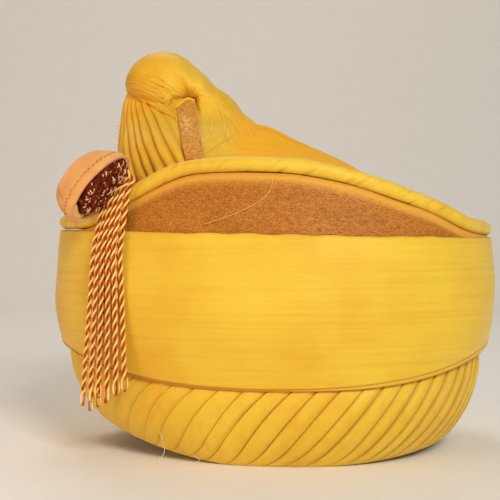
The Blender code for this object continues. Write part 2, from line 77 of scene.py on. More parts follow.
# each row: share of the wall's height, share of its lean
hullProfile = [
    (0.20, 0.820), (0.28, 0.600), (0.36, 0.370), (0.45, 0.120), (0.56, 0.000),
    (0.71, 0.060), (0.80, 0.190), (0.89, 0.480), (1.00, 0.930),
]
# each row: place from prow to stern, share of the rise
rollLine = [
    (-1.00, 0.120), (-0.84, 0.140), (-0.76, 0.290), (-0.68, 0.500), (-0.54, 0.790),
    (-0.43, 0.940), (-0.30, 0.990), (-0.06, 0.985), (0.10, 0.945), (0.33, 0.780),
    (0.51, 0.570), (0.66, 0.385), (0.83, 0.100), (1.00, 0.000),
]
ridgeLine = [
    (-1.00, 0.000), (-0.92, 0.420), (-0.78, 0.850), (-0.60, 1.000), (-0.25, 1.000),
    (-0.07, 0.970), (0.08, 0.720), (0.22, 0.570), (0.36, 0.450), (0.55, 0.270),
    (0.80, 0.170), (0.93, 0.110), (1.00, 0.000),
]

# Curves and noise worked out as whole arrays
def smoothCurve(rows, at, column=1):
    # cubic through the rows' values, each slope taken from the row before to the row after
    places = np.array([row[0] for row in rows], float)
    values = np.array([row[column] for row in rows], float)
    low = np.maximum(np.arange(len(rows)) - 1, 0)
    high = np.minimum(np.arange(len(rows)) + 1, len(rows) - 1)
    slopes = (values[high] - values[low]) / (places[high] - places[low])
    at = np.clip(at, places[0], places[-1])
    i = np.clip(np.searchsorted(places, at, side="right") - 1, 0, len(rows) - 2)
    span = places[i + 1] - places[i]
    t = (at - places[i]) / span
    return (
        values[i] * (1 + 2 * t) * (1 - t) ** 2
        + values[i + 1] * (3 - 2 * t) * t**2
        + span * t * (1 - t) * (slopes[i] * (1 - t) - slopes[i + 1] * t)
    )


def smoothStep(low, high, value):
    t = np.clip((value - low) / (high - low), 0, 1)
    return t * t * (3 - 2 * t)


def ripple(u, v, seed, waves, uRange, vRange):
    # sum of waves with whole turns along u and any along v, about -1 to 1
    rng = np.random.default_rng(seed)
    total = 0
    for _ in range(waves):
        alongU = rng.integers(uRange[0], uRange[1] + 1) * rng.choice((-1, 1))
        alongV = rng.uniform(vRange[0], vRange[1])
        total = total + np.sin(tau * (alongU * u + alongV * v + rng.uniform()))
    return total / math.sqrt(waves)


def unitVectors(vectors):
    return vectors / np.maximum(np.linalg.norm(vectors, axis=-1, keepdims=True), 1e-12)


def surfaceNormals(grid, wrapRows=False, wrapColumns=True):
    # cross product of the steps along the columns and along the rows
    def step(axis, wrap):
        if wrap:
            return np.roll(grid, -1, axis) - np.roll(grid, 1, axis)
        return np.gradient(grid, axis=axis)

    return unitVectors(np.cross(step(1, wrapColumns), step(0, wrapRows)))


# Meshes from grids
def gridMesh(name, grid, wrapRows=False, wrapColumns=True, marks=None, closeEnds=False, flip=False):
    # one quad between neighbouring points of a rows by columns grid, with a UV map and point marks
    rows, columns = grid.shape[:2]
    i = np.arange(rows if wrapRows else rows - 1)[:, None]
    j = np.arange(columns if wrapColumns else columns - 1)[None, :]
    nextI, nextJ = (i + 1) % rows, (j + 1) % columns
    corners = [(i, j), (i, nextJ), (nextI, nextJ), (nextI, j)]
    uvSteps = [(0, 0), (0, 1), (1, 1), (1, 0)]
    if flip:
        corners, uvSteps = corners[::-1], uvSteps[::-1]
    quads = np.stack([(a * columns + b) + 0 * (i + j) for a, b in corners], -1).reshape(-1, 4)
    uv = np.stack(
        [
            np.stack(((j + dv) / columns + 0 * i, (i + du) / max(rows - 1, 1) + 0 * j), -1)
            for du, dv in uvSteps
        ],
        -2,
    ).reshape(-1, 2)
    points = grid.reshape(-1, 3)
    faces = quads.tolist()
    if closeEnds:
        order = list(range(columns))
        first, last = order[::-1], [(rows - 1) * columns + k for k in order]
        faces += [first[::-1], last[::-1]] if flip else [first, last]
        uv = np.concatenate((uv, np.zeros((2 * columns, 2))))
    mesh = bpy.data.meshes.new(name)
    mesh.from_pydata(points.tolist(), [], faces)
    layer = mesh.uv_layers.new(name="UVMap")
    layer.data.foreach_set("uv", uv.astype(np.float32).ravel())
    for mark, values in (marks or {}).items():
        attribute = mesh.attributes.new(mark, "FLOAT", "POINT")
        attribute.data.foreach_set("value", np.clip(values, -1, 4).astype(np.float32).ravel())
    mesh.shade_smooth()
    piece = bpy.data.objects.new(name, mesh)
    bpy.context.scene.collection.objects.link(piece)
    return piece


def carryProfile(path, profile, upHint=(0.0, 0.0, 1.0), closed=False):
    # grid of a profile (sideways, outwards) carried square to a path
    ahead = np.roll(path, -1, 0) - np.roll(path, 1, 0) if closed else np.gradient(path, axis=0)
    ahead = unitVectors(ahead)
    side = unitVectors(np.cross(ahead, np.array(upHint)))
    over = np.cross(side, ahead)
    profile = np.asarray(profile)
    if profile.ndim == 2:
        profile = profile[None]
    return path[:, None] + side[:, None] * profile[..., :1] + over[:, None] * profile[..., 1:]


def resample(points, count):
    # smooth curve through a few points, then points at even distances along it
    points = np.asarray(points, float)
    knots = np.concatenate(([0], np.cumsum(np.linalg.norm(np.diff(points, axis=0), axis=1))))
    fine = np.linspace(0, knots[-1], 400)
    curve = np.stack(
        [smoothCurve(list(zip(knots, points[:, axis])), fine) for axis in range(3)], -1
    )
    along = np.concatenate(([0], np.cumsum(np.linalg.norm(np.diff(curve, axis=0), axis=1))))
    even = np.linspace(0, along[-1], count)
    return np.stack([np.interp(even, along, curve[:, axis]) for axis in range(3)], -1), along[-1]


def joinGrids(name, grids, marks=None, closeEnds=True):
    # many small tubes as one mesh
    pieces = []
    for n, grid in enumerate(grids):
        own = {key: values[n] for key, values in (marks or {}).items()}
        pieces.append(gridMesh(name + str(n), grid, marks=own, closeEnds=closeEnds, flip=True))
    bpy.ops.object.select_all(action="DESELECT")
    for piece in pieces:
        piece.select_set(True)
    bpy.context.view_layer.objects.active = pieces[0]
    bpy.ops.object.join()
    pieces[0].name = name
    pieces[0].data.name = name
    return pieces[0]


def addWall(piece, thickness, even=True):
    wall = piece.modifiers.new("wall", "SOLIDIFY")
    wall.thickness = thickness
    wall.offset = -1
    wall.use_even_offset = even
    return piece


def circle(count, radius=1.0):
    angle = np.arange(count) / count * tau
    return np.stack((np.cos(angle), np.sin(angle)), -1) * radius


# The hull's own lines
def outlineAt(theta, inset=0.0):
    # egg: x follows the cosine, y the sine swelled towards the stern, moved in along its normal
    x = hull["length"] / 2 * np.cos(theta)
    y = hull["width"] / 2 * np.sin(theta) * (1 + hull["egg"] * np.cos(theta))
    outX = hull["width"] / 2 * (np.cos(theta) + hull["egg"] * np.cos(2 * theta))
    outY = hull["length"] / 2 * np.sin(theta)
    size = np.hypot(outX, outY)
    return np.stack((x - inset * outX / size, y - inset * outY / size), -1)


def openingAt(theta):
    x = hull["openingLength"] / 2 * np.cos(theta)
    y = hull["openingWidth"] / 2 * np.sin(theta) * (1 + hull["egg"] * np.cos(theta))
    return np.stack((x, y), -1)


def soleHeight(theta):
    past = np.maximum(0, np.abs(np.cos(theta)) - hull["soleFlat"]) / (1 - hull["soleFlat"])
    sweep = np.where(np.cos(theta) > 0, hull["sternLift"], hull["prowLift"])
    return sweep * past**1.6


def bandLift(theta):
    return hull["bandLift"] * np.abs(np.cos(theta)) ** 3


def bandTop(theta):
    return hull["bandTop"] - hull["bandDip"] * np.cos(theta)


def hullInset(z):
    return hull["leanDepth"] * smoothCurve(hullProfile, z / hull["wallHeight"])


def wallInset(z):
    return hullInset(z) + hull["bandThick"] + hull["gap"]


def rollHeight(theta):
    rise = hull["rollRise"] * smoothCurve(rollLine, np.cos(theta))
    return hull["bandTop"] + hull["rollUp"] + rise


def rollInset(theta):
    low = rollHeight(theta) - hull["rollRadius"]
    return wallInset(low) + hull["rollRadius"] - hull["rollOverhang"]


def rollMiddle(theta):
    return np.concatenate((outlineAt(theta, rollInset(theta)), rollHeight(theta)[..., None]), -1)


def wallTop(theta):
    ahead = rollMiddle(theta + 0.01) - rollMiddle(theta - 0.01)
    slope = ahead[..., 2] / np.hypot(ahead[..., 0], ahead[..., 1])
    return rollHeight(theta) - (hull["rollRadius"] + hull["gap"]) * np.hypot(1, slope)


def crownPoint(theta, across):
    # strip from roll to roll: level edges, rising to the ridge by a soft power of the way in
    inset = rollInset(theta) + hull["rollRadius"] + hull["crownClear"]
    edge = outlineAt(theta, inset)
    rise = hull["ridgeRise"] * smoothCurve(ridgeLine, np.cos(theta))
    z = rollHeight(theta) + hull["crownLift"] + rise * (1 - np.abs(across)) ** 1.15
    return np.stack((edge[..., 0] + 0 * across, np.abs(edge[..., 1]) * across, z), -1)


# Shader maths
class Wire:
    # wraps a socket so that sums and products of sockets add their Math nodes

    def __init__(self, tree, socket):
        self.tree = tree
        self.socket = socket

    def through(self, operation, first, second=None):
        maths = self.tree.nodes.new("ShaderNodeMath")
        maths.operation = operation
        for slot, value in enumerate((first, second)):
            if isinstance(value, Wire):
                self.tree.links.new(value.socket, maths.inputs[slot])
            elif value is not None:
                maths.inputs[slot].default_value = value
        return Wire(self.tree, maths.outputs[0])

    def __add__(self, other):
        return self.through("ADD", self, other)

    __radd__ = __add__

    def __mul__(self, other):
        return self.through("MULTIPLY", self, other)

    __rmul__ = __mul__

    def __sub__(self, other):
        return self.through("SUBTRACT", self, other)

    def __rsub__(self, other):
        return self.through("SUBTRACT", other, self)

    def __pow__(self, other):
        return self.through("POWER", self, other)

    def clamped(self):
        return self.through("MINIMUM", self.through("MAXIMUM", self, 0.0), 1.0)


class Finish:
    # one material, with its nodes made by a single method

    def __init__(self, name, **constants):
        self.material = bpy.data.materials.new(name)
        self.material.use_nodes = True
        self.tree = self.material.node_tree
        self.shader = self.tree.nodes["Principled BSDF"]
        for key, value in constants.items():
            self.shader.inputs[key.replace("_", " ")].default_value = value

    def node(self, kind, settings=None, inputs=None, output=0):
        made = self.tree.nodes.new(kind)
        for key, value in (settings or {}).items():
            if key == "stops":
                while len(made.color_ramp.elements) > 1:
                    made.color_ramp.elements.remove(made.color_ramp.elements[-1])
                made.color_ramp.elements[0].position = value[0][0]
                made.color_ramp.elements[0].color = value[0][1]
                for place, colour in value[1:]:
                    made.color_ramp.elements.new(place).color = colour
            else:
                setattr(made, key, value)
        for key, value in (inputs or {}).items():
            if isinstance(value, Wire):
                self.tree.links.new(value.socket, made.inputs[key])
            else:
                made.inputs[key].default_value = value
        return Wire(self.tree, made.outputs[output])

    def objectPlace(self):
        return self.node("ShaderNodeTexCoord", output=3)

    def scaled(self, place, scale):
        return self.node("ShaderNodeMapping", inputs={"Vector": place, "Scale": scale})

    def noise(self, place, scale, detail=3.0, roughness=0.5):
        return self.node(
            "ShaderNodeTexNoise",
            inputs={"Vector": place, "Scale": scale, "Detail": detail, "Roughness": roughness},
        )

    def mark(self, name):
        return self.node("ShaderNodeAttribute", {"attribute_name": name}, output=2)

    def blend(self, share, first, second):
        return self.node(
            "ShaderNodeMix", {"data_type": "RGBA"}, {0: share, 6: first, 7: second}, output=2
        )

    def bump(self, height, strength, distance, under=None):
        inputs = {"Height": height, "Strength": strength, "Distance": distance}
        if under:
            inputs["Normal"] = under
        return self.node("ShaderNodeBump", inputs=inputs)

    def to(self, **sockets):
        for key, wire in sockets.items():
            self.tree.links.new(wire.socket, self.shader.inputs[key.replace("_", " ")])
        return self.material


def tone(red, green, blue):
    return (red, green, blue, 1.0)


silkTones = {
    "body": tone(0.75, 0.410, 0.019),
    "light": tone(0.84, 0.575, 0.046),
    "deep": tone(0.74, 0.285, 0.008),
    # crease and amber are painted shade: for the folds, and for the cloth astern of the hood
    "crease": tone(0.46, 0.140, 0.003),
    "amberShade": tone(1.0, 0.450, 0.002),
    "threadScale": 1500.0,  # threads for each metre, across the streaks
}


def silkFinish(name, streakScale, warmth=0.0, creaseStrength=0.85, sheen=0.15, gloss=0.3):
    # yellow silk: slow warm patches, long slub streaks, painted shade darkening the folds and
    # turning the cloth astern of the hood amber, and a fine thread bump
    silk = Finish(name, Sheen_Weight=sheen, Sheen_Roughness=0.4, Specular_IOR_Level=gloss)
    place = silk.objectPlace()
    patches = silk.noise(place, 22.0, 3.0)
    streaks = silk.noise(silk.scaled(place, streakScale), 1.0, 4.0, 0.6)
    fold = silk.mark("fold").clamped()
    share = ((patches - 0.5) * 1.3 + (streaks - 0.5) * 0.8 + (0.45 + warmth)).clamped()
    colour = silk.blend(share, silkTones["light"], silkTones["body"])
    warmShare = (((patches - 0.52) * 2.0).clamped() * 0.4 + max(0.0, warmth)).clamped()
    colour = silk.blend(warmShare, colour, silkTones["deep"])
    streakShare = ((streaks - 0.52) * 2.4).clamped() * 0.3
    colour = silk.blend(streakShare, colour, silkTones["deep"])
    # painted shade: amber where the cloth astern of the hood slopes away from the light
    colour = silk.blend(silk.mark("warm").clamped(), colour, silkTones["amberShade"])
    # painted shade: the fold mark darkens folds, valleys and grooves towards the crease tone
    colour = silk.blend(fold * creaseStrength, colour, silkTones["crease"])
    threads = silk.noise(silk.scaled(place, (1.0, 1.0, 1.6)), silkTones["threadScale"], 1.0)
    normal = silk.bump(threads, 0.10, 0.0003)
    normal = silk.bump(streaks, 0.18, 0.0010, normal)
    rough = (0.40 + 0.22 * streaks).clamped()
    return silk.to(Base_Color=colour, Roughness=rough, Normal=normal)


zariTones = {
    "gap": tone(0.22, 0.060, 0.005),
    "thread": tone(0.70, 0.270, 0.030),
    "glint": tone(0.95, 0.58, 0.18),
    "edge": tone(0.84, 0.44, 0.060),
    "dull": tone(0.90, 0.42, 0.060),
}


def zariFinish(name, dullness=0.0, coarse=1.0):
    # gold thread woven on brown: fine cells crossed by level wales, with rare painted glints and,
    # on the strap, a painted highlight
    zari = Finish(name, Metallic=0.0, Specular_IOR_Level=0.25)
    place = zari.objectPlace()
    cells = zari.noise(zari.scaled(place, (1.0, 1.0, 1.5)), 1150.0 / coarse, 1.0, 0.6)
    wales = zari.noise(zari.scaled(place, (0.5, 0.5, 2.0)), 640.0, 2.0, 0.6)
    cloud = zari.noise(zari.scaled(place, (1.0, 1.0, 2.0)), 38.0, 3.0)
    glint = zari.noise(place, 1500.0 / coarse, 0.0)
    edge = zari.mark("edge").clamped()
    share = ((cells - 0.5) * 1.4 + (wales - 0.5) * 1.1 + (cloud - 0.5) * 0.35 + 0.45).clamped()
    colour = zari.blend(share, zariTones["gap"], zariTones["thread"])
    # painted glints: rare bright specks of the glint tone
    colour = zari.blend(((glint - 0.68) * 6.0).clamped() * 0.4, colour, zariTones["glint"])
    if dullness:
        colour = zari.blend(dullness, colour, zariTones["dull"])
    colour = zari.blend(edge * 0.75, colour, zariTones["edge"])
    colour = zari.blend(zari.mark("rib").clamped() * 0.6 * (1.3 - share), colour, zariTones["gap"])
    # painted highlight: where the strap's mark is high, more of the glint tone comes through
    worn = (zari.mark("worn") * ((glint - 0.40) * 6.0).clamped()).clamped()
    colour = zari.blend(worn, colour, zariTones["glint"])
    normal = zari.bump(cells, 0.30, 0.0004)
    normal = zari.bump(wales, 0.35, 0.0006, normal)
    return zari.to(Base_Color=colour, Roughness=(0.66 - 0.16 * share), Normal=normal)


def capFinish(name):
    # close peach felt cloth, mottled, with painted shade in its crumpled folds and along its stitch
    # seam
    cap = Finish(name, Sheen_Weight=0.35, Sheen_Roughness=0.5, Specular_IOR_Level=0.25)
    place = cap.objectPlace()
    mottle = cap.noise(place, 90.0, 4.0, 0.6)
    grain = cap.noise(place, 1600.0, 2.0)
    fold = cap.mark("fold").clamped()
    dark, light = tone(0.70, 0.310, 0.072), tone(0.88, 0.455, 0.130)
    colour = cap.blend(((mottle - 0.5) * 2.0 + 0.5).clamped(), dark, light)
    colour = cap.blend(fold * 0.8, colour, tone(0.36, 0.080, 0.010))
    normal = cap.bump(grain, 0.25, 0.0004)
    return cap.to(Base_Color=colour, Roughness=(0.62 + 0.2 * grain), Normal=normal)


def cordFinish(name, dark, body, light, gloss=0.5):
    # copper gold filament: painted shade between the plies, a painted highlight on their crowns
    cord = Finish(name, Specular_IOR_Level=gloss)
    place = cord.objectPlace()
    grain = cord.noise(place, 900.0, 2.0)
    crown = cord.mark("crown").clamped()
    colour = cord.blend((crown * 1.7 - 0.1).clamped(), dark, body)
    colour = cord.blend(((crown - 0.55) * 2.4).clamped(), colour, light)
    colour = cord.blend(((grain - 0.5) * 2.0).clamped() * 0.35, colour, dark)
    normal = cord.bump(grain, 0.3, 0.0003)
    return cord.to(Base_Color=colour, Roughness=(0.52 - 0.18 * crown), Normal=normal)


def plainThreadFinish(name, colour):
    thread = Finish(name, Sheen_Weight=0.2)
    grain = thread.noise(thread.objectPlace(), 2500.0, 1.0)
    shade = tuple(0.72 * part for part in colour[:3]) + (1.0,)
    return thread.to(Base_Color=thread.blend(grain, colour, shade), Roughness=0.5 + 0.2 * grain)


def dress(piece, material, slot, *nodes):
    piece.data.materials.clear()
    piece.data.materials.append(material)
    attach(piece, "root")
    if nodes:
        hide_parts(*nodes)
    return piece


bandSilk = silkFinish("bandSilk", (9.0, 9.0, 420.0), warmth=-0.12)
rimSilk = silkFinish("rimSilk", (160.0, 160.0, 60.0), warmth=-0.18, creaseStrength=0.8, sheen=0.08)
rollSilk = silkFinish("rollSilk", (200.0, 200.0, 90.0), warmth=-0.3)
crownSilk = silkFinish("crownSilk", (60.0, 240.0, 60.0), warmth=-0.1, sheen=0.0, gloss=0.03)
peakSilk = silkFinish(
    "peakSilk", (140.0, 140.0, 140.0), warmth=0.08, creaseStrength=0.55, sheen=0.04
)
zariWeave = zariFinish("zariWeave")
strapWeave = zariFinish("strapWeave", dullness=0.40, coarse=1.9)
capFelt = capFinish("capFelt")
cordGold = cordFinish(
    "cordGold", tone(0.42, 0.062, 0.005), tone(0.92, 0.350, 0.040), tone(1.0, 0.72, 0.21)
)
rootGold = cordFinish(
    "rootGold", tone(0.085, 0.009, 0.002), tone(0.21, 0.034, 0.006), tone(0.62, 0.21, 0.09),
    gloss=0.05,
)
# painted highlight colours for the bright loops in the tassel's mouth
loopHighlight = cordFinish(
    "loopHighlight", tone(0.30, 0.050, 0.015), tone(0.78, 0.33, 0.16), tone(0.95, 0.60, 0.38), gloss=0.2
)
creamThread = plainThreadFinish("creamThread", tone(0.85, 0.72, 0.50))
goldThread = plainThreadFinish("goldThread", tone(0.98, 0.58, 0.20))
stitchThread = plainThreadFinish("stitchThread", tone(0.90, 0.52, 0.16))
# painted shade: dark capsules that stand for the stitch holes
holeShade = plainThreadFinish("holeShade", tone(0.20, 0.035, 0.010))
paleFelt = plainThreadFinish("paleFelt", tone(0.80, 0.40, 0.17))
print("finishes made")

# Pleated rim
rimLook = {
    "pleats": 60,
    "samplesPerPleat": 20,
    "outerRows": 38,
    "flatRows": 4,
    "slantDegrees": 23.0,
    "step": 0.0014,
    "beadRise": 0.00025,
    "creaseDrop": 0.0008,
    "puff": 0.0009,
    "wander": 0.16,
}


def rimPoint(theta, down, lift=0.0):
    # point on the rim's face, down from 0 at its top edge to 1 where it turns flat
    rows = [(n / 7, *row[:2]) for n, row in enumerate(rimSection[:8])]
    height, reach = smoothCurve(rows, down), smoothCurve(rows, down, 2)
    inner, outline = openingAt(theta), outlineAt(theta, wallInset(np.array(hull["bandFoot"])))
    away = unitVectors(outline - inner)
    foot, top = soleHeight(theta), hull["rimHeight"] + bandLift(theta)
    return np.append(inner + (outline - inner) * reach + away * lift, foot + (top - foot) * height)


def rimCloth():
    # a closed section carried round the hull: every pleat starts proud and slopes down to the next
    outerCount = 8
    closed = list(rimSection) + [rimSection[0]]
    heights, reaches, depths = ([(n, row[k]) for n, row in enumerate(closed)] for k in range(3))
    outer = np.linspace(0, outerCount - 1, rimLook["outerRows"])
    rest = np.arange((len(rimSection) - outerCount + 1) * rimLook["flatRows"]) + 1
    rest = outerCount - 1 + rest[:-1] / rimLook["flatRows"]
    down = np.concatenate((outer, rest))
    onOuter = down <= outerCount - 1

    def read(rows):
        places, values = np.array(rows, float).T
        outer = smoothCurve(rows[:outerCount], down)
        return np.where(onOuter, outer, np.interp(down, places, values))

    height, reach, depth = (read(rows)[:, None] for rows in (heights, reaches, depths))
    samples = rimLook["samplesPerPleat"]
    phase = (1 - np.cos(math.pi * (np.arange(samples) + 0.5) / samples)) / 2
    pleat = np.arange(rimLook["pleats"])
    turn = (pleat[:, None] + phase[None]).reshape(1, -1) / rimLook["pleats"]
    phase = np.tile(phase, rimLook["pleats"])[None]
    share = down[:, None] / (outerCount - 1)
    back = (len(rimSection) - 1 - down[:, None]) / (len(rimSection) - outerCount)
    slant = math.radians(rimLook["slantDegrees"]) * np.clip(np.where(share <= 1, share, back), 0, 1)
    wander = ripple(turn, share, 11, 6, (7, 24), (0.2, 0.7)) * rimLook["wander"] / rimLook["pleats"]
    theta = tau * (turn + wander * np.clip(share, 0, 1) * (share <= 1)) - slant
    foot, top = soleHeight(theta), hull["rimHeight"] + bandLift(theta)
    inner, outline = openingAt(theta), outlineAt(theta, wallInset(np.array(hull["bandFoot"])))
    away = unitVectors(outline - inner)
    each = np.random.default_rng(5).uniform(0.6, 1.35, rimLook["pleats"])
    each = np.repeat(each, samples)[None]
    bead = np.exp(-((phase / 0.07) ** 2)) * rimLook["beadRise"]
    crease = np.exp(-(((1 - phase) / 0.035) ** 2)) * rimLook["creaseDrop"]
    puff = np.sin(math.pi * phase) * rimLook["puff"]
    cloth = ripple(turn, share, 21, 8, (40, 170), (0.5, 3.0)) * 0.00013
    relief = depth * (puff * each + bead + cloth - rimLook["step"] * phase * each - crease)
    plan = inner + (outline - inner) * reach[..., None] + away * relief[..., None]
    z = foot + (top - foot) * height
    grid = np.concatenate((plan, z[..., None]), -1)
    # painted shade: dark lines at both edges of each pleat where it tucks under the next, and the
    # tucked half a little darker
    stepCrease = 0.9 * np.exp(-(((1 - phase) / 0.035) ** 2))
    footCrease = 0.3 * np.exp(-((phase / 0.02) ** 2))
    fold = depth * (stepCrease + footCrease)
    shade = fold + 0.10 * (phase > 0.5) * (phase - 0.5) * depth
    piece = gridMesh("baseRimCloth", grid, wrapRows=True, marks={"fold": shade}, flip=True)
    return dress(piece, rimSilk, "silk", "base_rim")


# Plain band over the wall
bandLook = {
    "columns": 560,
    "hemRows": 14,
    "hemShare": 0.06,
    "rows": 44,
    "wave": 0.0005,
    "topWander": 0.00028,
    "hemNear": 0.0007,
    "hemFar": 0.0026,
    "hemWidth": 0.00038,
    "hemDepth": 0.0006,
}


def turnGrid(columns, rows):
    turn = np.arange(columns)[None] / columns
    share = np.linspace(0, 1, rows)[:, None]
    return turn + 0 * share, share + 0 * turn


def bandCloth():
    # smooth wall round the hull whose height runs from its foot to a slightly wandering top edge
    turn = np.arange(bandLook["columns"])[None] / bandLook["columns"]
    low = np.linspace(0, bandLook["hemShare"], bandLook["hemRows"])
    plainRows = np.linspace(bandLook["hemShare"], 1, bandLook["rows"])[1:]
    share = np.concatenate((low, plainRows))[:, None]
    theta = tau * turn
    foot = hull["bandFoot"] + bandLift(theta)
    top = bandTop(theta) + bandLook["topWander"] * ripple(turn, 0, 31, 7, (5, 60), (0, 0))
    z = foot + (top - foot) * share
    wave = bandLook["wave"] * ripple(turn, share, 32, 5, (1, 5), (0.3, 1.6))
    wave = wave * np.sin(math.pi * share)
    slub = 0.00006 * ripple(turn, share, 33, 10, (3, 30), (8, 26))
    # the hem's line leaves the edge towards the stern
    away = bandLook["hemNear"] + (bandLook["hemFar"] - bandLook["hemNear"]) * smoothStep(
        -0.15, 0.70, np.cos(theta)
    )
    line = np.exp(-(((z - foot - away) / bandLook["hemWidth"]) ** 2))
    plan = outlineAt(theta, hullInset(z) - wave - slub + bandLook["hemDepth"] * line)
    grid = np.concatenate((plan, z[..., None]), -1)
    # painted shade: darker along the hem's groove and at the band's foot, where it meets the rim
    edge = np.exp(-((z - foot) / 0.0007))
    piece = gridMesh("sideBandCloth", grid, marks={"fold": 0.9 * line + 0.8 * edge})
    addWall(piece, hull["bandThick"])
    dress(piece, bandSilk, "silk", "side_band")
    return piece


# Woven wall between the band and the roll
panelLook = {"columns": 480, "rows": 44, "edgeBand": 0.0050, "ripple": 0.0003}


def zariPanelCloth():
    # wall round the hull from the rim to just under the roll
    turn, share = turnGrid(panelLook["columns"], panelLook["rows"])
    theta = tau * turn
    foot = hull["rimHeight"] + bandLift(theta) + hull["gap"]
    top = wallTop(theta)
    z = foot + (top - foot) * share
    free = smoothStep(bandTop(theta) + 0.002, bandTop(theta) + 0.008, z)
    wave = panelLook["ripple"] * ripple(turn, share, 41, 6, (3, 16), (0.5, 3)) * free
    plan = outlineAt(theta, wallInset(z) - wave)
    grid = np.concatenate((plan, z[..., None]), -1)
    edge = smoothStep(1.35, 0.65, (top - z) / panelLook["edgeBand"])
    piece = gridMesh("zariPanel", grid, marks={"edge": edge, "fold": 0 * z})
    addWall(piece, hull["wallThick"])
    return dress(piece, zariWeave, "zari", "zari_wall")


# Stuffed roll on the wall's upper edge
rollLook = {
    "columns": 1900,
    "sides": 22,
    "wave": 0.00016,
    "creases": 210,
    "creaseDepth": 0.00038,
    "creaseSpan": 0.13,  # part of the way round the section
    "slant": -0.0060,
}


def crownRoll():
    # round section carried along the roll's line, with slow waves and a few slanting creases
    turn = np.arange(rollLook["columns"])[:, None] / rollLook["columns"]
    around = np.arange(rollLook["sides"])[None] / rollLook["sides"]
    rng = np.random.default_rng(52)
    lows, highs = (0, 0.0008, 0.3, 0), (1, 0.0014, 1, 1)
    spots, widths, depths, faces = rng.uniform(lows, highs, (rollLook["creases"], 4)).T
    along = turn + rollLook["slant"] * np.sin(tau * around)
    far = (along[..., None] - spots + 0.5) % 1 - 0.5
    aside = ((around[..., None] - faces + 0.5) % 1 - 0.5) / rollLook["creaseSpan"]
    crease = np.clip((depths * np.exp(-((far / widths) ** 2) - aside**2)).sum(-1), 0, 1.2)
    relief = rollLook["wave"] * (ripple(turn, around, 51, 6, (6, 40), (0.3, 1.2)) - 1)
    relief = relief - rollLook["creaseDepth"] * crease
    roundProfile = circle(rollLook["sides"], hull["rollRadius"])[None]
    profile = roundProfile * (1 + relief / hull["rollRadius"])[..., None]
    grid = carryProfile(rollMiddle(tau * turn[:, 0]), profile, closed=True)
    # painted shade: the slanting creases are darkened
    marks = {"fold": 0.55 * crease}
    piece = gridMesh("crownRollCloth", grid, wrapRows=True, marks=marks, flip=True)
    return dress(piece, rollSilk, "silk", "crown_roll")


# Tent of cloth over the crown
crownLook = {
    "rows": 170,
    "across": 81,
    "sag": 0.0008,
    # the last three entries set the painted shade that turns the cloth amber astern of the hood
    "paleTo": -0.034,
    "shadeFrom": -0.016,
    "warmShare": 0.8,
}


def asternShadeShare(x):
    # painted shade: none towards the hood, rising to its full share astern
    return crownLook["warmShare"] * smoothStep(crownLook["paleTo"], crownLook["shadeFrom"], x)


def crownHeight(x, y):
    # height of the crown cloth's upper face, from the strip that crosses the hull at x
    theta = np.linspace(math.pi, 0, 361)
    edge = crownPoint(theta, np.ones_like(theta))
    rise = hull["ridgeRise"] * smoothCurve(ridgeLine, np.cos(theta))
    across = np.clip(np.abs(y) / np.maximum(np.interp(x, edge[:, 0], edge[:, 1]), 1e-6), 0, 1)
    base = np.interp(x, edge[:, 0], edge[:, 2])
    return base + np.interp(x, edge[:, 0], rise) * (1 - across) ** 1.15


def crownCloth():
    # strips from roll to roll, each rising to the ridge, sagging a little between
    theta = np.linspace(math.pi, 0, crownLook["rows"])[:, None]
    across = np.linspace(-1, 1, crownLook["across"])[None]
    grid = crownPoint(theta + 0 * across, across + 0 * theta)
    share = np.linspace(0, 1, crownLook["rows"])[:, None]
    ends = np.sin(math.pi * share) ** 0.5 * (1 - across**2)
    pull = ripple(share, across, 61, 8, (1, 2), (2.0, 7.0))
    calm = (smoothStep(0.03, 0.16, share) * smoothStep(0.97, 0.84, share)) * (1 - across**2)
    grid[..., 2] += 0.0002 * calm * pull - ends * crownLook["sag"]
    # painted shade: the dips of the slow pull are darkened a little
    fold = np.clip(-pull - 0.4, 0, 1) * 0.14 * calm
    # painted shade: amber astern of the hood
    warm = asternShadeShare(grid[..., 0])
    marks = {"fold": fold + 0 * warm, "warm": warm}
    piece = gridMesh("crownClothSheet", grid, wrapColumns=False, marks=marks, flip=False)
    bpy.context.view_layer.objects.active = piece
    weld = piece.modifiers.new("tips", "WELD")
    weld.merge_threshold = 0.00001
    addWall(piece, hull["crownThick"], even=False)
    return dress(piece, crownSilk, "silk", "crown_cloth")


# Gathered hood
hoodLook = {
    "place": -0.389,
    "lift": 0.0185,
    "reach": 0.046,
    "halfThick": 0.026,
    "dimple": 0.27,
    "angles": 840,
    "rows": 44,
    "gathers": 12,
    "gatherDepth": 0.0014,
    "puckers": 26,
    "puckerDepth": 0.0012,
    "sweepGap": 0.0026,
    "sweepDepth": 0.0004,
    "throat": 0.0055,
}
# each row: millimetres astern of the gathers' middle, height there of the lowest and highest gather
gatherSpan = [
    (-46, 8.0, 17.5), (-37.6, 4.2, 15.5), (-30, -1.4, 14.3), (-22.5, -5.8, 11.7),
    (-14.3, -10.9, 6.7), (-6.2, -15.9, -0.8),
]
# each row: degrees from astern towards the top, share of the reach
hoodOutline = [
    (-7, 0.70), (6, 0.57), (26, 0.43), (56, 0.415), (83, 0.498), (95, 0.596), (110, 0.72),
    (120, 0.804), (139, 0.912), (153, 0.95), (166, 0.94), (175, 0.83), (184, 0.66),
    (197, 0.51), (220, 0.39), (250, 0.35), (275, 0.33), (305, 0.42), (325, 0.64), (340, 0.82),
]
skirtLook = {
    "drop": 0.052,
    "rise": 0.014,
    "columns": 900,
    "rows": 78,
    "floorRows": 7,
    "lean": 16.0,
    "leanFrom": 0.156,
    "leanTo": 0.70,
}
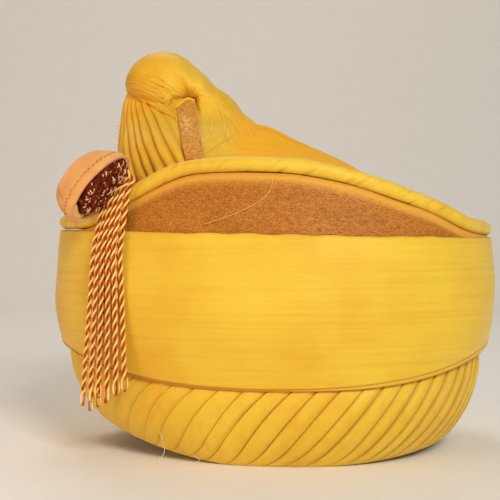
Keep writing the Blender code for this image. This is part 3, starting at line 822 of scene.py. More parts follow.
# each row: share of the height, front and back in hood reaches, side in hood half thicknesses
skirtSections = [
    (0.00, 1.050, 1.45, 2.95), (0.16, 1.035, 1.30, 2.72), (0.34, 1.025, 1.15, 2.30),
    (0.54, 1.000, 0.95, 1.50), (0.74, 0.960, 0.60, 0.80), (0.90, 0.880, 0.30, 0.40),
]


def ridgeHeight(x):
    theta = np.linspace(math.pi, 0, 91)
    ridge = crownPoint(theta, np.zeros_like(theta))
    return float(np.interp(x, ridge[:, 0], ridge[:, 2]))


hoodX = hoodLook["place"] * hull["length"] / 2
hoodMiddle = np.array((hoodX, 0.0, ridgeHeight(hoodX) + hoodLook["lift"]))


def valleyWave(turns):
    # narrow valleys at whole turns between broad rounded backs
    return (1 - np.abs(np.sin(math.pi * turns))) ** 1.7


def hoodPlace(x, z):
    # distance from the gathers' middle as a share of the hood's outline, and the angle of the way
    wrapped = [(turn - 360, reach) for turn, reach in hoodOutline[-4:]] + hoodOutline
    wrapped += [(turn + 360, reach) for turn, reach in hoodOutline[:4]]
    along, up = x - hoodMiddle[0], z - hoodMiddle[2]
    degrees = np.degrees(np.arctan2(up, along)) % 360
    reach = hoodLook["reach"] * smoothCurve(wrapped, degrees)
    return np.hypot(along, up) / reach, degrees, reach


def hoodDepth(out):
    # puffed thickness, dimpled in the middle and rounded off at the outline
    thick = np.maximum(0, 1 - np.minimum(out, 1) ** 3.6) ** 0.55
    dimple = hoodLook["dimple"] * np.maximum(0, 1 - out / 0.5) ** 2
    return hoodLook["halfThick"] * np.maximum(thick - dimple, 0)


def gatherRelief(x, z):
    # long gathers to the prow between two curves, short puckers round the middle and arcs astern
    along, up = (x - hoodMiddle[0]) * 1000, (z - hoodMiddle[2]) * 1000
    low, high = smoothCurve(gatherSpan, along), smoothCurve(gatherSpan, along, 2)
    level = (up - low) / (high - low)
    spread = level * 0.9 + 0.045 * np.sin(along / 7.0 + 5 * level)
    spread = spread + 0.02 * np.sin(along / 2.6 + 11 * level)
    phase = spread * hoodLook["gathers"]
    each = 0.62 + 0.38 * np.sin(2.7 * np.floor(phase + 0.5) + 0.6)
    fade = smoothStep(-3.5, -7.5, along)
    fade = fade * smoothStep(-0.12, 0.02, level) * smoothStep(1.5, 0.8, level)
    toStrap = 0.6 + 0.4 * smoothStep(-34, -12, along)
    long = valleyWave(phase) * fade * each * toStrap
    far, degrees = np.hypot(along, up + 1.0), np.degrees(np.arctan2(up + 1.0, along))
    turns = degrees / 360 * hoodLook["puckers"] + 0.012 * far + 0.25 * np.sin(degrees / 17)
    near = smoothStep(9.5, 3.0, far) * smoothStep(1.2, 2.6, far) * smoothStep(-30, 10, degrees)
    pucker = valleyWave(turns) * near
    ring = np.hypot(along - 1.4, (up + 17.0) / 1.25)
    swing = 0.35 * np.sin(np.arctan2(up + 17.0, along - 1.4) * 3)
    arcs = ring / (1000 * hoodLook["sweepGap"]) + swing
    sweepFade = smoothStep(4.0, 9.0, along) * smoothStep(10.0, 13.5, ring)
    sweepFade = sweepFade * smoothStep(36, 22, ring)
    uneven = 0.55 + 0.45 * np.sin(1.9 * np.floor(arcs + 0.5) + up / 9)
    sweep = valleyWave(arcs) * sweepFade * uneven
    crease = np.exp(-(((up + 39.1 - (along - 12.1) * 0.73) / 0.9) ** 2)) * smoothStep(11, 15, along)
    crease = crease * smoothStep(33, 27, along)
    relief = -hoodLook["gatherDepth"] * long - hoodLook["puckerDepth"] * pucker
    relief = relief - hoodLook["sweepDepth"] * (sweep + 1.2 * crease)
    # the second value is painted shade, darkest in the gather, pucker and arc valleys
    return relief, 0.85 * long + 0.8 * pucker + 0.28 * sweep + 0.4 * crease


def hoodCloth():
    # polar grid: near face from the gathers out to the brow, far face back in again
    angleShare = np.arange(hoodLook["angles"])[None] / hoodLook["angles"]
    out = np.sin(np.linspace(0.03, math.pi / 2, hoodLook["rows"]))
    out = np.concatenate((out, out[-2::-1]))[:, None]
    side = np.concatenate((-np.ones(hoodLook["rows"]), np.ones(hoodLook["rows"] - 1)))[:, None]
    angle = tau * angleShare
    reach = hoodPlace(hoodMiddle[0] + np.cos(angle), hoodMiddle[2] + np.sin(angle))[2] * out
    x = hoodMiddle[0] + reach * np.cos(angle)
    z = hoodMiddle[2] + reach * np.sin(angle)
    base = np.stack((x, side * hoodDepth(out) + 0 * x, z), -1)
    relief, fold = gatherRelief(x, z)
    slow = 0.0006 * ripple(angleShare, out, 73, 5, (1, 5), (0.4, 1.3)) * np.sin(math.pi * out)
    normals = surfaceNormals(base)
    outward = np.sign(np.sum(normals * (base - hoodMiddle), -1).mean())
    grid = base + outward * normals * (relief + slow)[..., None]
    # room for the strap below the gathers on the near face, with painted shade in that throat
    across = np.abs(grid[..., 0] - hoodMiddle[0] + 0.0022)
    below = smoothStep(hoodMiddle[2] + 0.0015, hoodMiddle[2] - 0.0020, grid[..., 2])
    room = smoothStep(0.0092, 0.0064, across) * below * (side < 0)
    grid[..., 1] += hoodLook["throat"] * room
    piece = gridMesh(
        "peakHoodCloth", grid, marks={"fold": np.clip(fold + 0.5 * room, 0, 1)},
        closeEnds=True, flip=True,
    )
    return dress(piece, peakSilk, "silk", "peak_hood")


# Fan of folds under the hood
# each row: degrees round the skirt's oval of a valley between two folds, at the foot
fanValleys = [170, 189, 201, 212, 220.5, 230, 237, 246.5, 256, 266, 289, 304, 322, 346, 370]
# each row: degrees round the oval, depth of the valleys in millimetres
fanDepths = [
    (180, 1.8), (200, 2.3), (222, 3.3), (245, 4.0), (258, 3.7), (266, 2.4), (277, 0.2),
    (289, 0.2), (305, 0.2), (322, 0.2), (345, 0.3), (360, 0.4),
]


def skirtPlace(height, column):
    return smoothCurve(skirtSections, height, column)


def skirtZ(height):
    return hoodMiddle[2] - skirtLook["drop"] + (skirtLook["drop"] + skirtLook["rise"]) * height


def skirtSide(height, back):
    # point of the skirt's near side, back metres astern of the gathers
    front, rear, side = (skirtPlace(height, column) for column in (1, 2, 3))
    half = (front + rear) * hoodLook["reach"] / 2
    along = (back - (rear - front) * hoodLook["reach"] / 2) / half
    depth = hoodLook["halfThick"] * side * np.sqrt(np.maximum(0, 1 - along**2))
    x = hoodMiddle[0] + back
    return np.stack((x + 0 * depth, -depth, skirtZ(height) + 0 * depth), -1)


def skirtOval(height, angle, relief=0.0):
    reach = hoodLook["reach"]
    front, back, side = (skirtPlace(height, column) for column in (1, 2, 3))
    middle = hoodMiddle[0] + (back - front) * reach / 2
    x = middle + ((front + back) * reach / 2 + relief) * np.cos(angle)
    y = (side * hoodLook["halfThick"] + relief) * np.sin(angle)
    return np.stack((x, y, skirtZ(height) + 0 * x), -1)


def smoothMost(first, second, width):
    # larger of the two, rounded over a width where they cross
    return (first + second + np.sqrt((first - second) ** 2 + width**2)) / 2


def asternFlow(wall, height):
    # astern of the strap the cloth runs on from the hood's face down to the crown without a lip
    x, depth, z = wall[..., 0], np.abs(wall[..., 1]), wall[..., 2]
    strapEdge = hoodMiddle[0] + smoothCurve(strapPath, height) * hoodLook["reach"] + 0.0066
    share = smoothStep(-0.001, 0.003, x - strapEdge) * smoothStep(0.38, 0.55, height)
    over = 0.0006 - 0.0026 * smoothStep(0.77, 0.90, height)
    face = hoodDepth(hoodPlace(x, z)[0]) + over
    joined = smoothMost(depth, face, 0.010 * smoothStep(0.88, 0.62, height) + 0.0002)
    relief, fold = gatherRelief(x, z)
    astern = smoothStep(0.004, 0.012, x - hoodMiddle[0])
    depth = depth + (joined - depth) * share + relief * astern
    wall[..., 1] = np.where(wall[..., 1] < 0, -depth, depth)
    # painted shade of the gathers, carried on astern
    return fold * astern


def lipShare(x, z):
    # 1 above the line where the gathers end over the fan, 0 below it and astern of the strap
    along, up = (x - hoodMiddle[0]) * 1000, (z - hoodMiddle[2]) * 1000
    over = up - smoothCurve(gatherSpan, along) - 0.5 * np.sin(along / 2.3)
    ahead = smoothStep(-1.5, -4.0, along)
    # the second value is a painted shadow line just under the hood's lip
    return smoothStep(-0.7, 0.5, over) * ahead, np.exp(-(((over + 0.7) / 0.6) ** 2)) * ahead


def fanRelief(height, degrees):
    # valleys from the table, leaning towards the prow as they rise, with puffed folds between
    lean = (height - skirtLook["leanFrom"]) / (skirtLook["leanTo"] - skirtLook["leanFrom"])
    near = np.where(degrees < 180, 360 - degrees, degrees)
    lean = skirtLook["lean"] * np.clip(lean, -0.3, 1.3) * smoothStep(180, 205, near)
    near = np.minimum(near + lean * smoothStep(360, 335, near), 369.9)
    edges = np.array(fanValleys, float)
    i = np.clip(np.searchsorted(edges, near, side="right") - 1, 0, len(edges) - 2)
    share = (near - edges[i]) / (edges[i + 1] - edges[i])
    puff = np.sin(math.pi * share) ** 0.62
    depth = 0.001 * smoothCurve(fanDepths, near)
    depth = depth * smoothStep(0.95, 0.55, height) * (0.75 + 0.25 * smoothStep(0.5, 0.1, height))
    # the second value is painted shade, darkest in the valleys
    return -depth * (1 - puff), np.clip((1 - puff) ** 1.6 * depth / 0.0028, 0, 1)


def peakPleats():
    # oval rings from the crown cloth up into the hood, then in along the crown underneath
    turn = np.arange(skirtLook["columns"])[None] / skirtLook["columns"]
    angle = tau * turn
    tries = np.linspace(0, 0.6, 121)[:, None]
    spots = skirtOval(tries + 0 * turn, angle + 0 * tries, 0.0)
    over = spots[..., 2] - crownHeight(spots[..., 0], spots[..., 1]) - 2 * hull["gap"]
    # the lowest height from which the oval stays above the crown
    lowest = np.where(over > 0, 0, np.arange(121)[:, None]).max(0)
    start = tries[np.minimum(lowest + 1, 120), 0]
    count = max(3, skirtLook["columns"] // 60)
    kernel = np.ones(count) / count
    start = np.convolve(np.concatenate((start[-count:], start, start[:count])), kernel, "same")
    start = start[count:-count][None]
    share = np.linspace(0, 1, skirtLook["rows"])[:, None]
    height = start + (0.90 - start) * share
    degrees = np.degrees(angle) + 0 * height
    relief, fold = fanRelief(height, degrees)
    relief = relief + 0.00022 * ripple(turn, share, 81, 8, (18, 60), (0.2, 0.9))
    heel = smoothStep(0.40, 0.56, height) * smoothStep(0.86, 0.70, height)
    relief = relief + 0.0010 * heel * smoothStep(0.55, 0.95, np.cos(angle))
    plain = skirtOval(height, angle + 0 * height, 0 * relief)
    above, lip = lipShare(plain[..., 0], plain[..., 2])
    gathers, gatherFold = gatherRelief(plain[..., 0], plain[..., 2])
    relief = (relief - 0.0008) * (1 - above) + (1.3 * gathers + 0.0010) * above
    # painted shade: fan valleys, gathers, and a shadow line under the hood's lip
    fold = fold * (1 - above) + 1.5 * gatherFold * above + 0.75 * lip
    wall = skirtOval(height, angle + 0 * height, relief)
    fold = np.clip(fold + asternFlow(wall, height), 0, 1)
    floorShare = np.linspace(0.97, 0.03, skirtLook["floorRows"])[:, None, None]
    centre = np.array((hoodMiddle[0], 0.0))
    plan = centre + (wall[0, :, :2] - centre)[None] * floorShare
    floorZ = crownHeight(plan[..., 0], plan[..., 1]) + 2 * hull["gap"]
    under = np.concatenate((plan, floorZ[..., None]), -1)[::-1]
    wall[0, :, 2] = np.maximum(
        wall[0, :, 2], crownHeight(wall[0, :, 0], wall[0, :, 1]) + 1.5 * hull["gap"]
    )
    grid = np.concatenate((under, wall), 0)
    # painted shade on the part lying on the crown under the hood
    fold = np.concatenate((np.full(under.shape[:2], 0.3), fold), 0)
    underHood = smoothStep(hoodMiddle[2] - 0.004, hoodMiddle[2] - 0.018, grid[..., 2])
    # painted shade: amber astern of the hood, on the skirt's heel below the hood
    warm = asternShadeShare(grid[..., 0]) * underHood
    marks = {"fold": fold, "warm": warm}
    piece = gridMesh("peakPleatsCloth", grid, marks=marks, closeEnds=True)
    return dress(piece, peakSilk, "silk", "peak_pleats")


# Strap that the gathers hang from
strapLook = {
    "width": 0.0120,
    "thick": 0.0014,
    "rows": 260,
    "across": 34,
    "cup": 0.0004,
    "ribs": 42,
    "wales": 9,
}
# each row: share of the skirt's height, place ahead of the gathers in hood reaches
strapPath = [
    (0.00, 0.24), (0.16, 0.15), (0.34, 0.09), (0.54, 0.025), (0.70, -0.025), (0.80, -0.055),
]
# each row: place across the strap, share of the skirt's height of its top edge
strapTop = [(-1.05, 0.662), (-0.4, 0.715), (0.3, 0.757), (1.0, 0.738)]


def strapPoint(height, across, out):
    # across runs from -1 to 1 over the strap's width, out is measured square to the skirt
    back = smoothCurve(strapPath, height) * hoodLook["reach"] + across * strapLook["width"] / 2
    away = unitVectors(np.array((0.0, -1.0, 0.5)))
    return skirtSide(height, back) + away * np.asarray(out)[..., None]


def strapRibbon():
    tries = np.linspace(0.0, 0.30, 90)
    line = strapPoint(tries, 0.0, 0.0)
    clear = line[:, 2] > crownHeight(line[:, 0], line[:, 1]) + 2 * hull["gap"]
    foot = tries[np.argmax(clear)] + 0.005
    across = np.linspace(-1, 1, strapLook["across"])
    loop = np.concatenate((across, across[::-1]))[None]
    face = np.concatenate((np.zeros(strapLook["across"]), np.ones(strapLook["across"])))[None]
    share = np.linspace(0, 1, strapLook["rows"])[:, None]
    height = foot + (smoothCurve(strapTop, loop) - foot) * share
    bulge = strapLook["cup"] * (1 - loop**2)
    swing = 1.2 * np.sin(math.pi * strapLook["wales"] * loop)
    weave = np.sin(tau * strapLook["ribs"] * share + swing)
    out = 2 * hull["gap"] + face * (strapLook["thick"] + bulge + 0.00012 * weave)
    grid = strapPoint(height, loop + 0 * height, out + 0 * height)
    selvage = 0.9 * smoothStep(0.86, 0.95, loop) + 0.5 * smoothStep(-0.9, -1.0, loop) + 0 * height
    seam = 0.55 * np.exp(-(((height - 0.27) / 0.008) ** 2)) * (np.sin(loop * 22) > -0.2)
    # painted highlight: a bright spot across the strap's middle, and a little more painted glint
    # all over it
    worn = 0.85 * np.exp(-(((height - 0.50) / 0.09) ** 2) - ((loop + 0.25) / 0.5) ** 2) + 0.22
    edge = np.clip(selvage + seam, 0, 1)
    marks = {"edge": edge, "rib": np.clip(-weave, 0, 1) + 0 * edge, "worn": worn}
    piece = gridMesh("peakStrapRibbon", grid, marks=marks, closeEnds=True, flip=True)
    dress(piece, strapWeave, "zari", "peak_strap")
    # folded yellow hem along the strap's sloping top
    ways = np.linspace(-1.04, 1.0, 9)
    points = strapPoint(smoothCurve(strapTop, ways) + 0.004, ways, strapLook["thick"] + 0.0008)
    path, _ = resample(points, 60)
    oval = circle(12) * np.array((0.0010, 0.0007))
    taper = np.sin(np.linspace(0.25, math.pi - 0.25, 60)) ** 0.4
    hem = gridMesh(
        "strapHemFold",
        carryProfile(path, oval[None] * taper[:, None, None], upHint=(0, -1, 0.2)),
        marks={"fold": np.zeros((60, 12))},
        closeEnds=True,
        flip=True,
    )
    dress(hem, bandSilk, "silk")
    return piece, hem


# Felt cap over the tassel's root
capLook = {
    "halfLength": 0.0245,
    "halfWidth": 0.0145,
    "depth": 0.0235,
    "thick": 0.0020,
    "spot": -0.728,
    "side": -0.704,
    "up": 0.0259,
    "tiltDegrees": 50.5,
    "turnDegrees": 28.0,
    "blunt": 0.60,
    "sag": 0.0030,
    "columns": 260,
    "rows": 60,
    "borderRadius": 0.00055,
    "stitchTilt": 15.0,
    "stitches": 46,
}


def capAxes():
    tilt, turn = math.radians(capLook["tiltDegrees"]), math.radians(capLook["turnDegrees"])
    middle = np.array(
        (
            capLook["spot"] * hull["length"] / 2,
            capLook["side"] * hull["width"] / 2,
            hull["bandTop"] + capLook["up"],
        )
    )
    long = np.array((math.cos(tilt), 0, math.sin(tilt)))
    dome = np.array((-math.sin(tilt), 0, math.cos(tilt)))
    turned = dome * math.cos(turn) + np.array((0, 1, 0)) * math.sin(turn)
    return middle, long, np.cross(turned, long), turned


def capPoint(tilt, angle, grow=0.0):
    # half an ellipsoid, squared a little towards its rim
    middle, long, side, dome = capAxes()
    flat = np.maximum(np.cos(tilt), 0) ** capLook["blunt"]
    a = (capLook["halfLength"] + grow) * np.cos(angle) * flat
    b = (capLook["halfWidth"] + grow) * np.sin(angle) * flat
    c = (capLook["depth"] + grow) * np.sin(tilt)
    a = a - capLook["sag"] * np.sin(tilt)
    return middle + long * a[..., None] + side * b[..., None] + dome * c[..., None]


def capShell():
    turn = np.arange(capLook["columns"])[None] / capLook["columns"]
    angle = tau * turn
    tilt = (math.pi / 2 * np.linspace(0, 0.995, capLook["rows"]) ** 0.9)[:, None]
    low = smoothStep(-0.45, -0.95, np.cos(angle)) + 0.3 * smoothStep(0.6, 1.0, np.cos(angle))
    crumple = np.sin(9 * angle + 6 * tilt) * 0.5 + 0.5 * np.sin(17 * angle - 4 * tilt)
    relief = -0.0013 * low * np.clip(crumple, 0, 1) * np.sin(2 * tilt) ** 0.5
    relief = relief + 0.0003 * ripple(turn, tilt, 91, 6, (2, 7), (0.3, 0.9))
    seam = -0.0005 * np.exp(-(((np.degrees(tilt) - capLook["stitchTilt"]) / 1.8) ** 2))
    seam = seam + 0.0003 * np.exp(-(((np.degrees(tilt) - 8) / 3.0) ** 2))
    grid = capPoint(tilt + 0 * turn, angle + 0 * tilt, relief + seam)
    # painted shade: the crumples at the low end and the stitch seam's groove are darkened
    fold = np.clip(low * np.clip(crumple, 0, 1) * np.sin(2 * tilt) * 0.9, 0, 1)
    fromSeam = (np.degrees(tilt) - capLook["stitchTilt"]) / 1.6
    fold = np.maximum(fold, 0.35 * np.exp(-(fromSeam**2)))
    piece = gridMesh("tasselCapShell", grid, marks={"fold": fold}, closeEnds=False)
    weld = piece.modifiers.new("pole", "WELD")
    weld.merge_threshold = 0.0002
    addWall(piece, capLook["thick"])
    dress(piece, capFelt, "cap", "tassel_cap")
    # turned edge round the mouth
    around = np.arange(220) / 220 * tau
    wander = 0.0002 * np.sin(7 * around) + 0.00015 * np.sin(19 * around + 1)
    rim = capPoint(np.zeros(220), around, wander - 0.0006)
    ring = circle(10, capLook["borderRadius"])
    hint = capAxes()[3]
    border = gridMesh(
        "capBorder", carryProfile(rim, ring, upHint=hint, closed=True), wrapRows=True,
        marks={"fold": np.zeros((220, 10))}, flip=True,
    )
    dress(border, paleFelt, "cap")
    # stitches: short threads standing in the seam, with a dark capsule between each two as painted
    # shade for the hole
    threads, holes = [], []
    rng = np.random.default_rng(92)
    for k in range(capLook["stitches"]):
        half = tau / capLook["stitches"] * rng.uniform(0.20, 0.32)
        tip = math.radians(capLook["stitchTilt"] + rng.uniform(-1.2, 1.2))
        at = tau * k / capLook["stitches"] + np.linspace(-half, half, 7)
        path = capPoint(np.full(7, tip), at, 0.00035 * np.sin(np.linspace(0, math.pi, 7)) - 0.0003)
        ends = np.sin(np.linspace(0.3, math.pi - 0.3, 7)) ** 0.5
        threadProfile = circle(6, 0.00036)[None] * ends[:, None, None]
        threads.append(carryProfile(path, threadProfile, upHint=hint))
        at = tau * (k + 0.5) / capLook["stitches"] + np.linspace(-0.012, 0.012, 4)
        path = capPoint(np.full(4, tip + rng.uniform(-0.02, 0.02)), at, np.full(4, -0.0003))
        ends = np.array((0.4, 1.0, 1.0, 0.4))
        holeProfile = circle(6, 0.00034)[None] * ends[:, None, None]
        holes.append(carryProfile(path, holeProfile, upHint=hint))
    stitches = dress(joinGrids("capStitches", threads), stitchThread, "cap")
    dots = dress(joinGrids("capStitchHoles", holes), holeShade, "cap")
    # fold of golden lining inside the low end of the mouth
    at = np.linspace(math.radians(150), math.radians(222), 40)
    path = capPoint(np.full(40, 0.06), at, np.full(40, -0.0040) + 0.0003 * np.sin(at * 5))
    flat = circle(12) * np.array((0.0024, 0.0006))
    taper = np.sin(np.linspace(0.2, math.pi - 0.2, 40)) ** 0.5
    lining = gridMesh(
        "capInnerFold", carryProfile(path, flat[None] * taper[:, None, None], upHint=hint),
        marks={"fold": np.zeros((40, 12))}, closeEnds=True, flip=True,
    )
    dress(lining, goldThread, "cap")
    return piece


# Tassel: dark looped root and twisted cords
tasselLook = {
    "cordRadius": 0.0017,
    "layer": 1.9,
    "middleDegrees": -133.0,
    "spreadDegrees": 0.8,
    "flare": 1.95,
    "driftDegrees": 1.8,
    "drop": 0.106,
    "headStart": -0.12,
    "bulge": 0.005,
    "plies": 2,
    "plyOffset": 0.00092,
    "plyRadius": 0.00080,
    "pitch": 0.0132,
    "steps": 170,
    "sides": 8,
    "loops": 230,
    "rootLong": 0.87,
    "rootShift": 0.0024,
    "brightShare": 0.36,
}
# each row: share of the distance out, share of it up, as a cord turns over the roll
rollTurn = [(0.45, 0.90), (0.98, 0.05)]
# each row: how far the inner and the outer cord hang, as shares of the tassel's drop
cordDrops = [(1.000, 0.972), (0.972, 0.943), (0.943, 0.915), (0.896, 0.925), (0.868, 0.887)]
cordStations = [0.12, 0.33, 0.60, 1.00]  # down a cord beside the band, as shares of its drop


def headPoint(column, row, depth):
    # lattice over the cap's mouth, domed by depth
    middle, long, side, dome = capAxes()
    clear = capLook["thick"] + 2 * hull["gap"]
    along = (column - 1) / (2 * len(cordDrops) - 1)
    s = tasselLook["headStart"] + (1 - tasselLook["headStart"]) * along
    t = row / 2 - 1
    across, down = s * np.sqrt(1 - t * t / 2), t * np.sqrt(1 - s * s / 2)
    rise = np.sqrt(np.maximum(0, 1 - across**2 - down**2))
    a = across * (capLook["halfLength"] - clear)
    b = down * (capLook["halfWidth"] - clear)
    c = depth * rise
    return middle + long * a[..., None] + side * b[..., None] + dome * c[..., None]


def cordPath(root, number, layer, drop):
    # from the root over the roll, then down beside the band
    turn = math.radians(tasselLook["spreadDegrees"]) * (len(cordDrops) - 0.5 - number)
    theta = math.radians(tasselLook["middleDegrees"]) + turn
    radius = tasselLook["cordRadius"]
    here = np.array(theta)
    away = np.append(outlineAt(here, -1.0) - outlineAt(here), 0.0)
    out = radius * (1 + tasselLook["layer"] * layer) + 3 * hull["gap"]
    points = [root]
    for across, up in rollTurn:
        turnOver = away * across + np.array((0, 0, up))
        spot = rollMiddle(here) + (hull["rollRadius"] + out) * turnOver
        if spot[2] < points[-1][2] - radius:
            points.append(spot)
    top = bandTop(here)
    drift = math.radians(tasselLook["driftDegrees"])
    for share in cordStations:
        spread = np.array(theta + (turn * (tasselLook["flare"] - 1) - drift) * share)
        points.append(np.append(outlineAt(spread, -out), top - drop * tasselLook["drop"] * share))
    return points


def twistedCord(path, length, start):
    # plies wound round the path, opening into a small ring at the end
    along = np.linspace(0, length, len(path))
    left = np.clip((length - along) / 0.0085, 0, 1)
    opened = np.sin(math.pi * left) * (left < 1)
    angle = start - tau * np.minimum(along, length - 0.007) / tasselLook["pitch"]
    offset = tasselLook["plyOffset"] * (1 + 0.8 * opened) * np.clip(left / 0.22, 0, 1) ** 0.5
    radius = tasselLook["plyRadius"] * (1 - 0.2 * opened)
    ring = circle(tasselLook["sides"])
    grids, crowns = [], []
    for ply in range(tasselLook["plies"]):
        turned = angle + tau * ply / tasselLook["plies"]
        centre = np.stack((np.cos(turned), np.sin(turned)), -1) * offset[:, None]
        profile = centre[:, None] + ring[None] * radius[:, None, None]
        far = np.linalg.norm(profile, axis=-1) / (tasselLook["plyOffset"] + tasselLook["plyRadius"])
        grids.append(carryProfile(path, profile, upHint=(0.31, -0.95, 0.05)))
        # painted shade and highlight: the crown mark is high on the outer side of each ply and low
        # between the plies
        crowns.append(np.clip((far - 0.46) / 0.54, 0, 1) ** 1.3)
    return grids, crowns


def tassel():
    grids, crowns = [], []
    for i, drops in enumerate(cordDrops):
        for layer, drop in enumerate(drops):
            rootDepth = -tasselLook["bulge"] * 0.4
            root = headPoint(np.array(2.0 * i + 1), np.array(3.0 - 2 * layer), rootDepth)
            number = 2 * (len(cordDrops) - 1 - i) + layer
            path, length = resample(cordPath(root, number, layer, drop), tasselLook["steps"])
            own, far = twistedCord(path, length, 1.7 * number)
            grids += own
            crowns += far
    cords = joinGrids("tasselCords", grids, {"crown": crowns})
    dress(cords, cordGold, "cord", "tassel")
    # root: domed mass filling the mouth
    turn = np.arange(96)[None] / 96
    out = np.sin(np.linspace(0.02, math.pi / 2, 20))
    rows = np.concatenate((out, out[-2::-1]))[:, None]
    depth = np.concatenate((-np.ones(20), np.full(19, 2.6)))[:, None]
    middle, long, side, dome = capAxes()
    clear = capLook["thick"] + 2 * hull["gap"]
    lumps = 1 + 0.05 * ripple(turn, rows, 95, 8, (4, 14), (0.6, 2.5))
    bulge = tasselLook["bulge"] * depth * np.sqrt(np.maximum(0, 1 - rows**2)) * lumps
    a = rows * np.cos(tau * turn) * (capLook["halfLength"] - clear) * tasselLook["rootLong"]
    a = a + tasselLook["rootShift"]
    b = rows * np.sin(tau * turn) * (capLook["halfWidth"] - clear)
    grid = middle + long * a[..., None] + side * b[..., None] + dome * bulge[..., None]
    tufts = 0.15 + 0.3 * ripple(turn, rows, 96, 6, (9, 24), (2, 5))
    crown = np.clip(tufts, 0, 1) + 0 * grid[..., 0]
    mass = gridMesh("tasselRoot", grid, marks={"crown": crown}, closeEnds=True, flip=True)
    dress(mass, rootGold, "cord")
    # small loops of the cords' own thread crowding the mouth, most of them dark; the bright ones
    # are painted highlights
    rng = np.random.default_rng(7)
    bins = {True: ([], []), False: ([], [])}
    for _ in range(tasselLook["loops"]):
        spread, at = math.sqrt(rng.uniform(0.0, 0.97)), rng.uniform(0, tau)
        heading, size = rng.normal(-0.5, 0.35), rng.uniform(0.0010, 0.0020)
        arc = np.linspace(0.1, math.pi - 0.1, 7)
        along, rise = -np.cos(arc) * size, np.sin(arc) * size * rng.uniform(0.5, 0.9)
        a0 = spread * math.cos(at) * (capLook["halfLength"] - clear - 0.0008)
        a0 = a0 * tasselLook["rootLong"]
        a0 = a0 + tasselLook["rootShift"]
        b0 = spread * math.sin(at) * (capLook["halfWidth"] - clear - 0.0008)
        c0 = -tasselLook["bulge"] * math.sqrt(1 - spread**2)
        path = middle + (
            long * (a0 + along * math.cos(heading))[:, None]
            + side * (b0 + along * math.sin(heading))[:, None]
            + dome * (c0 + 0.0006 - rise)[:, None]
        )
        # painted highlight: about a third of the loops are drawn bright, standing for highlights on
        # the tangle
        bright = rng.uniform() < tasselLook["brightShare"]
        radius = 0.00040 if bright else 0.00052
        loops, shine = bins[bright]
        loops.append(carryProfile(path, circle(6, radius), upHint=(0.3, -0.2, 0.9)))
        shine.append(np.full((7, 6), rng.uniform(0.55, 1.0) if bright else rng.uniform(0.2, 0.75)))
    tangle = joinGrids("tasselLoops", bins[False][0], {"crown": bins[False][1]})
    dress(tangle, rootGold, "cord")
    strokes = joinGrids("tasselHighlightLoops", bins[True][0], {"crown": bins[True][1]})
    dress(strokes, loopHighlight, "cord")
    return cords, mass, tangle, strokes


# Loose threads
threadRadius = 0.00018


def looseThreads():
    # threads pulled out of the weave: one on the panel, two hanging from the rim, hairs at the peak
    def onPanel(x, z, lift):
        theta = -math.acos(min(1.0, max(-1.0, x / (hull["length"] / 2))))
        return np.append(outlineAt(np.array(theta), wallInset(np.array(z)) - lift), z)

    panelRows = [
        (-0.0432, 0.1392, 0.0008), (-0.0250, 0.1455, 0.0004), (-0.0095, 0.1536, 0.0010),
        (-0.0052, 0.1600, 0.0006), (-0.0045, 0.1655, 0.0012),
    ]
    path, _ = resample([onPanel(*row) for row in panelRows], 50)
    onWall = dress(
        joinGrids(
            "panelThread", [carryProfile(path, circle(6, threadRadius), upHint=(0.2, 0.1, 0.97))]
        ),
        goldThread, "silk",
    )
    grids = []
    for theta, down, swing in ((-2.150, 0.62, 0.0064), (-2.015, 0.82, 0.0075)):
        start = rimPoint(np.array(theta), down, 0.0008)
        out = np.append(unitVectors(start[:2]), 0)
        steps = [
            (0, 0, 0), (0.6, 0.0030, 0.25), (1, 0.0048, 0.6),
            (0.75, 0.0060, 0.85), (0.5, 0.0068, 1),
        ]
        points = []
        for side, away, fall in steps:
            spot = start + np.array((swing * side, 0, 0)) + out * away
            spot[2] = start[2] + (0.0004 - start[2]) * fall
            points.append(spot)
        path, _ = resample(points, 40)
        grids.append(carryProfile(path, circle(6, threadRadius), upHint=(0.2, 0.97, 0.1)))
    rng = np.random.default_rng(15)
    for _ in range(16):
        height = rng.uniform(0.26, 0.58)
        angle = np.array(math.radians(rng.uniform(178, 196)))
        start = skirtOval(np.array(height), angle)
        size, lift = rng.uniform(0.002, 0.0045), rng.uniform(-0.6, 0.9)
        share = np.linspace(0, 1, 6)[:, None]
        path = start + share * size * np.array((-1.0, rng.uniform(-0.3, 0.3), lift))
        path = path + share**2 * np.array((0, 0, rng.uniform(-0.0012, 0.0012)))
        grids.append(carryProfile(path, circle(4, 0.00008), upHint=(0.1, 0.97, 0.2)))
    return onWall, dress(joinGrids("looseThreads", grids), creamThread, "silk")


rimPiece = rimCloth()
print("rim made")
bandPiece = bandCloth()
panelPiece = zariPanelCloth()
print("band and panel made")
rollPiece = crownRoll()
crownPiece = crownCloth()
print("roll and crown made")
hoodPiece = hoodCloth()
pleatsPiece = peakPleats()
strapPiece, hemPiece = strapRibbon()
print("peak made")
capPiece = capShell()
tassel()
looseThreads()
print("tassel made")

# Floor, light and camera
stageLook = {
    "floorColour": tone(0.94, 0.935, 0.92),
    "wallAt": 1.9,
    "bend": 0.7,
    "height": 3.0,
    "halfWidth": 4.0,
    "front": -3.0,
}


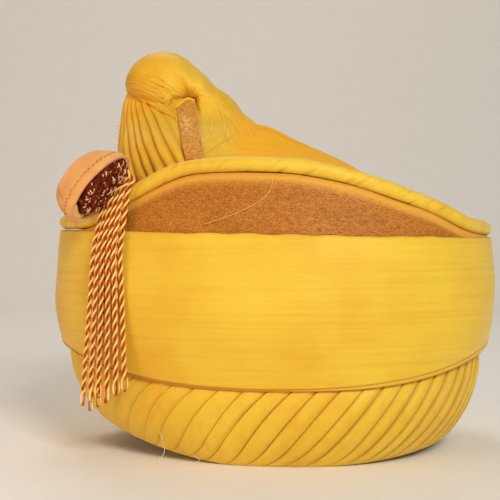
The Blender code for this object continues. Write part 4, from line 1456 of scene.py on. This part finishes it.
def seamlessFloor():
    # floor, a quarter round, and a wall, as one sheet
    arc = np.linspace(0, math.pi / 2, 24)
    bend = stageLook["bend"]
    curveY = stageLook["wallAt"] - bend + bend * np.sin(arc)
    y = np.concatenate(([stageLook["front"], 0], curveY, [stageLook["wallAt"]]))
    z = np.concatenate(([0, 0], bend - bend * np.cos(arc), [stageLook["height"]]))
    x = np.array((-stageLook["halfWidth"], stageLook["halfWidth"]))
    grid = np.stack(np.broadcast_arrays(x[None], y[:, None], z[:, None]), -1)
    floor = gridMesh("studioFloor", grid, wrapColumns=False)
    paper = Finish("studioPaper", Roughness=0.9, Specular_IOR_Level=0.1)
    grain = paper.noise(paper.objectPlace(), 40.0, 2.0)
    shade = tuple(0.97 * part for part in stageLook["floorColour"][:3]) + (1.0,)
    colour = paper.blend(grain, stageLook["floorColour"], shade)
    floor.data.materials.append(paper.to(Base_Color=colour))


def areaLight(name, place, target, size, power, colour=(1, 1, 1)):
    lamp = bpy.data.lights.new(name, "AREA")
    lamp.shape = "DISK"
    lamp.size = size
    lamp.energy = power
    lamp.color = colour
    light = bpy.data.objects.new(name, lamp)
    bpy.context.scene.collection.objects.link(light)
    light.location = place
    light.rotation_euler = (Vector(target) - Vector(place)).to_track_quat("-Z", "Y").to_euler()


seamlessFloor()
areaLight("keyLight", (0.50, -1.55, 0.95), (0, 0, 0.11), 0.6, 19.5, (1.0, 0.98, 0.92))
areaLight("fillLight", (-1.4, -1.0, 0.5), (0, 0, 0.11), 0.9, 7.5, (1.0, 0.50, 0.16))
areaLight("backLight", (-0.3, 1.0, 1.7), (0, 0, 0.13), 0.9, 7.5, (1.0, 0.90, 0.76))
world = bpy.data.worlds.new("studioAir")
bpy.context.scene.world = world
world.use_nodes = True
world.node_tree.nodes["Background"].inputs["Color"].default_value = (1.0, 0.96, 0.89, 1.0)
world.node_tree.nodes["Background"].inputs["Strength"].default_value = 0.29
bpy.context.scene.view_settings.view_transform = "Standard"

cameraLook = {
    "place": (-0.0156, -0.75, 0.136),
    "focalPixels": 1154.0,
    "imagePixels": 500.0,
    "horizonRow": 230.0,
}
lens = bpy.data.cameras.new("photoLens")
lens.sensor_width = 36.0
lens.lens = cameraLook["focalPixels"] / cameraLook["imagePixels"] * lens.sensor_width
imagePixels = cameraLook["imagePixels"]
lens.shift_y = (cameraLook["horizonRow"] - imagePixels / 2) / imagePixels
camera = bpy.data.objects.new("photoCamera", lens)
bpy.context.scene.collection.objects.link(camera)
camera.location = cameraLook["place"]
camera.rotation_euler = (math.pi / 2, 0, 0)
bpy.context.scene.camera = camera
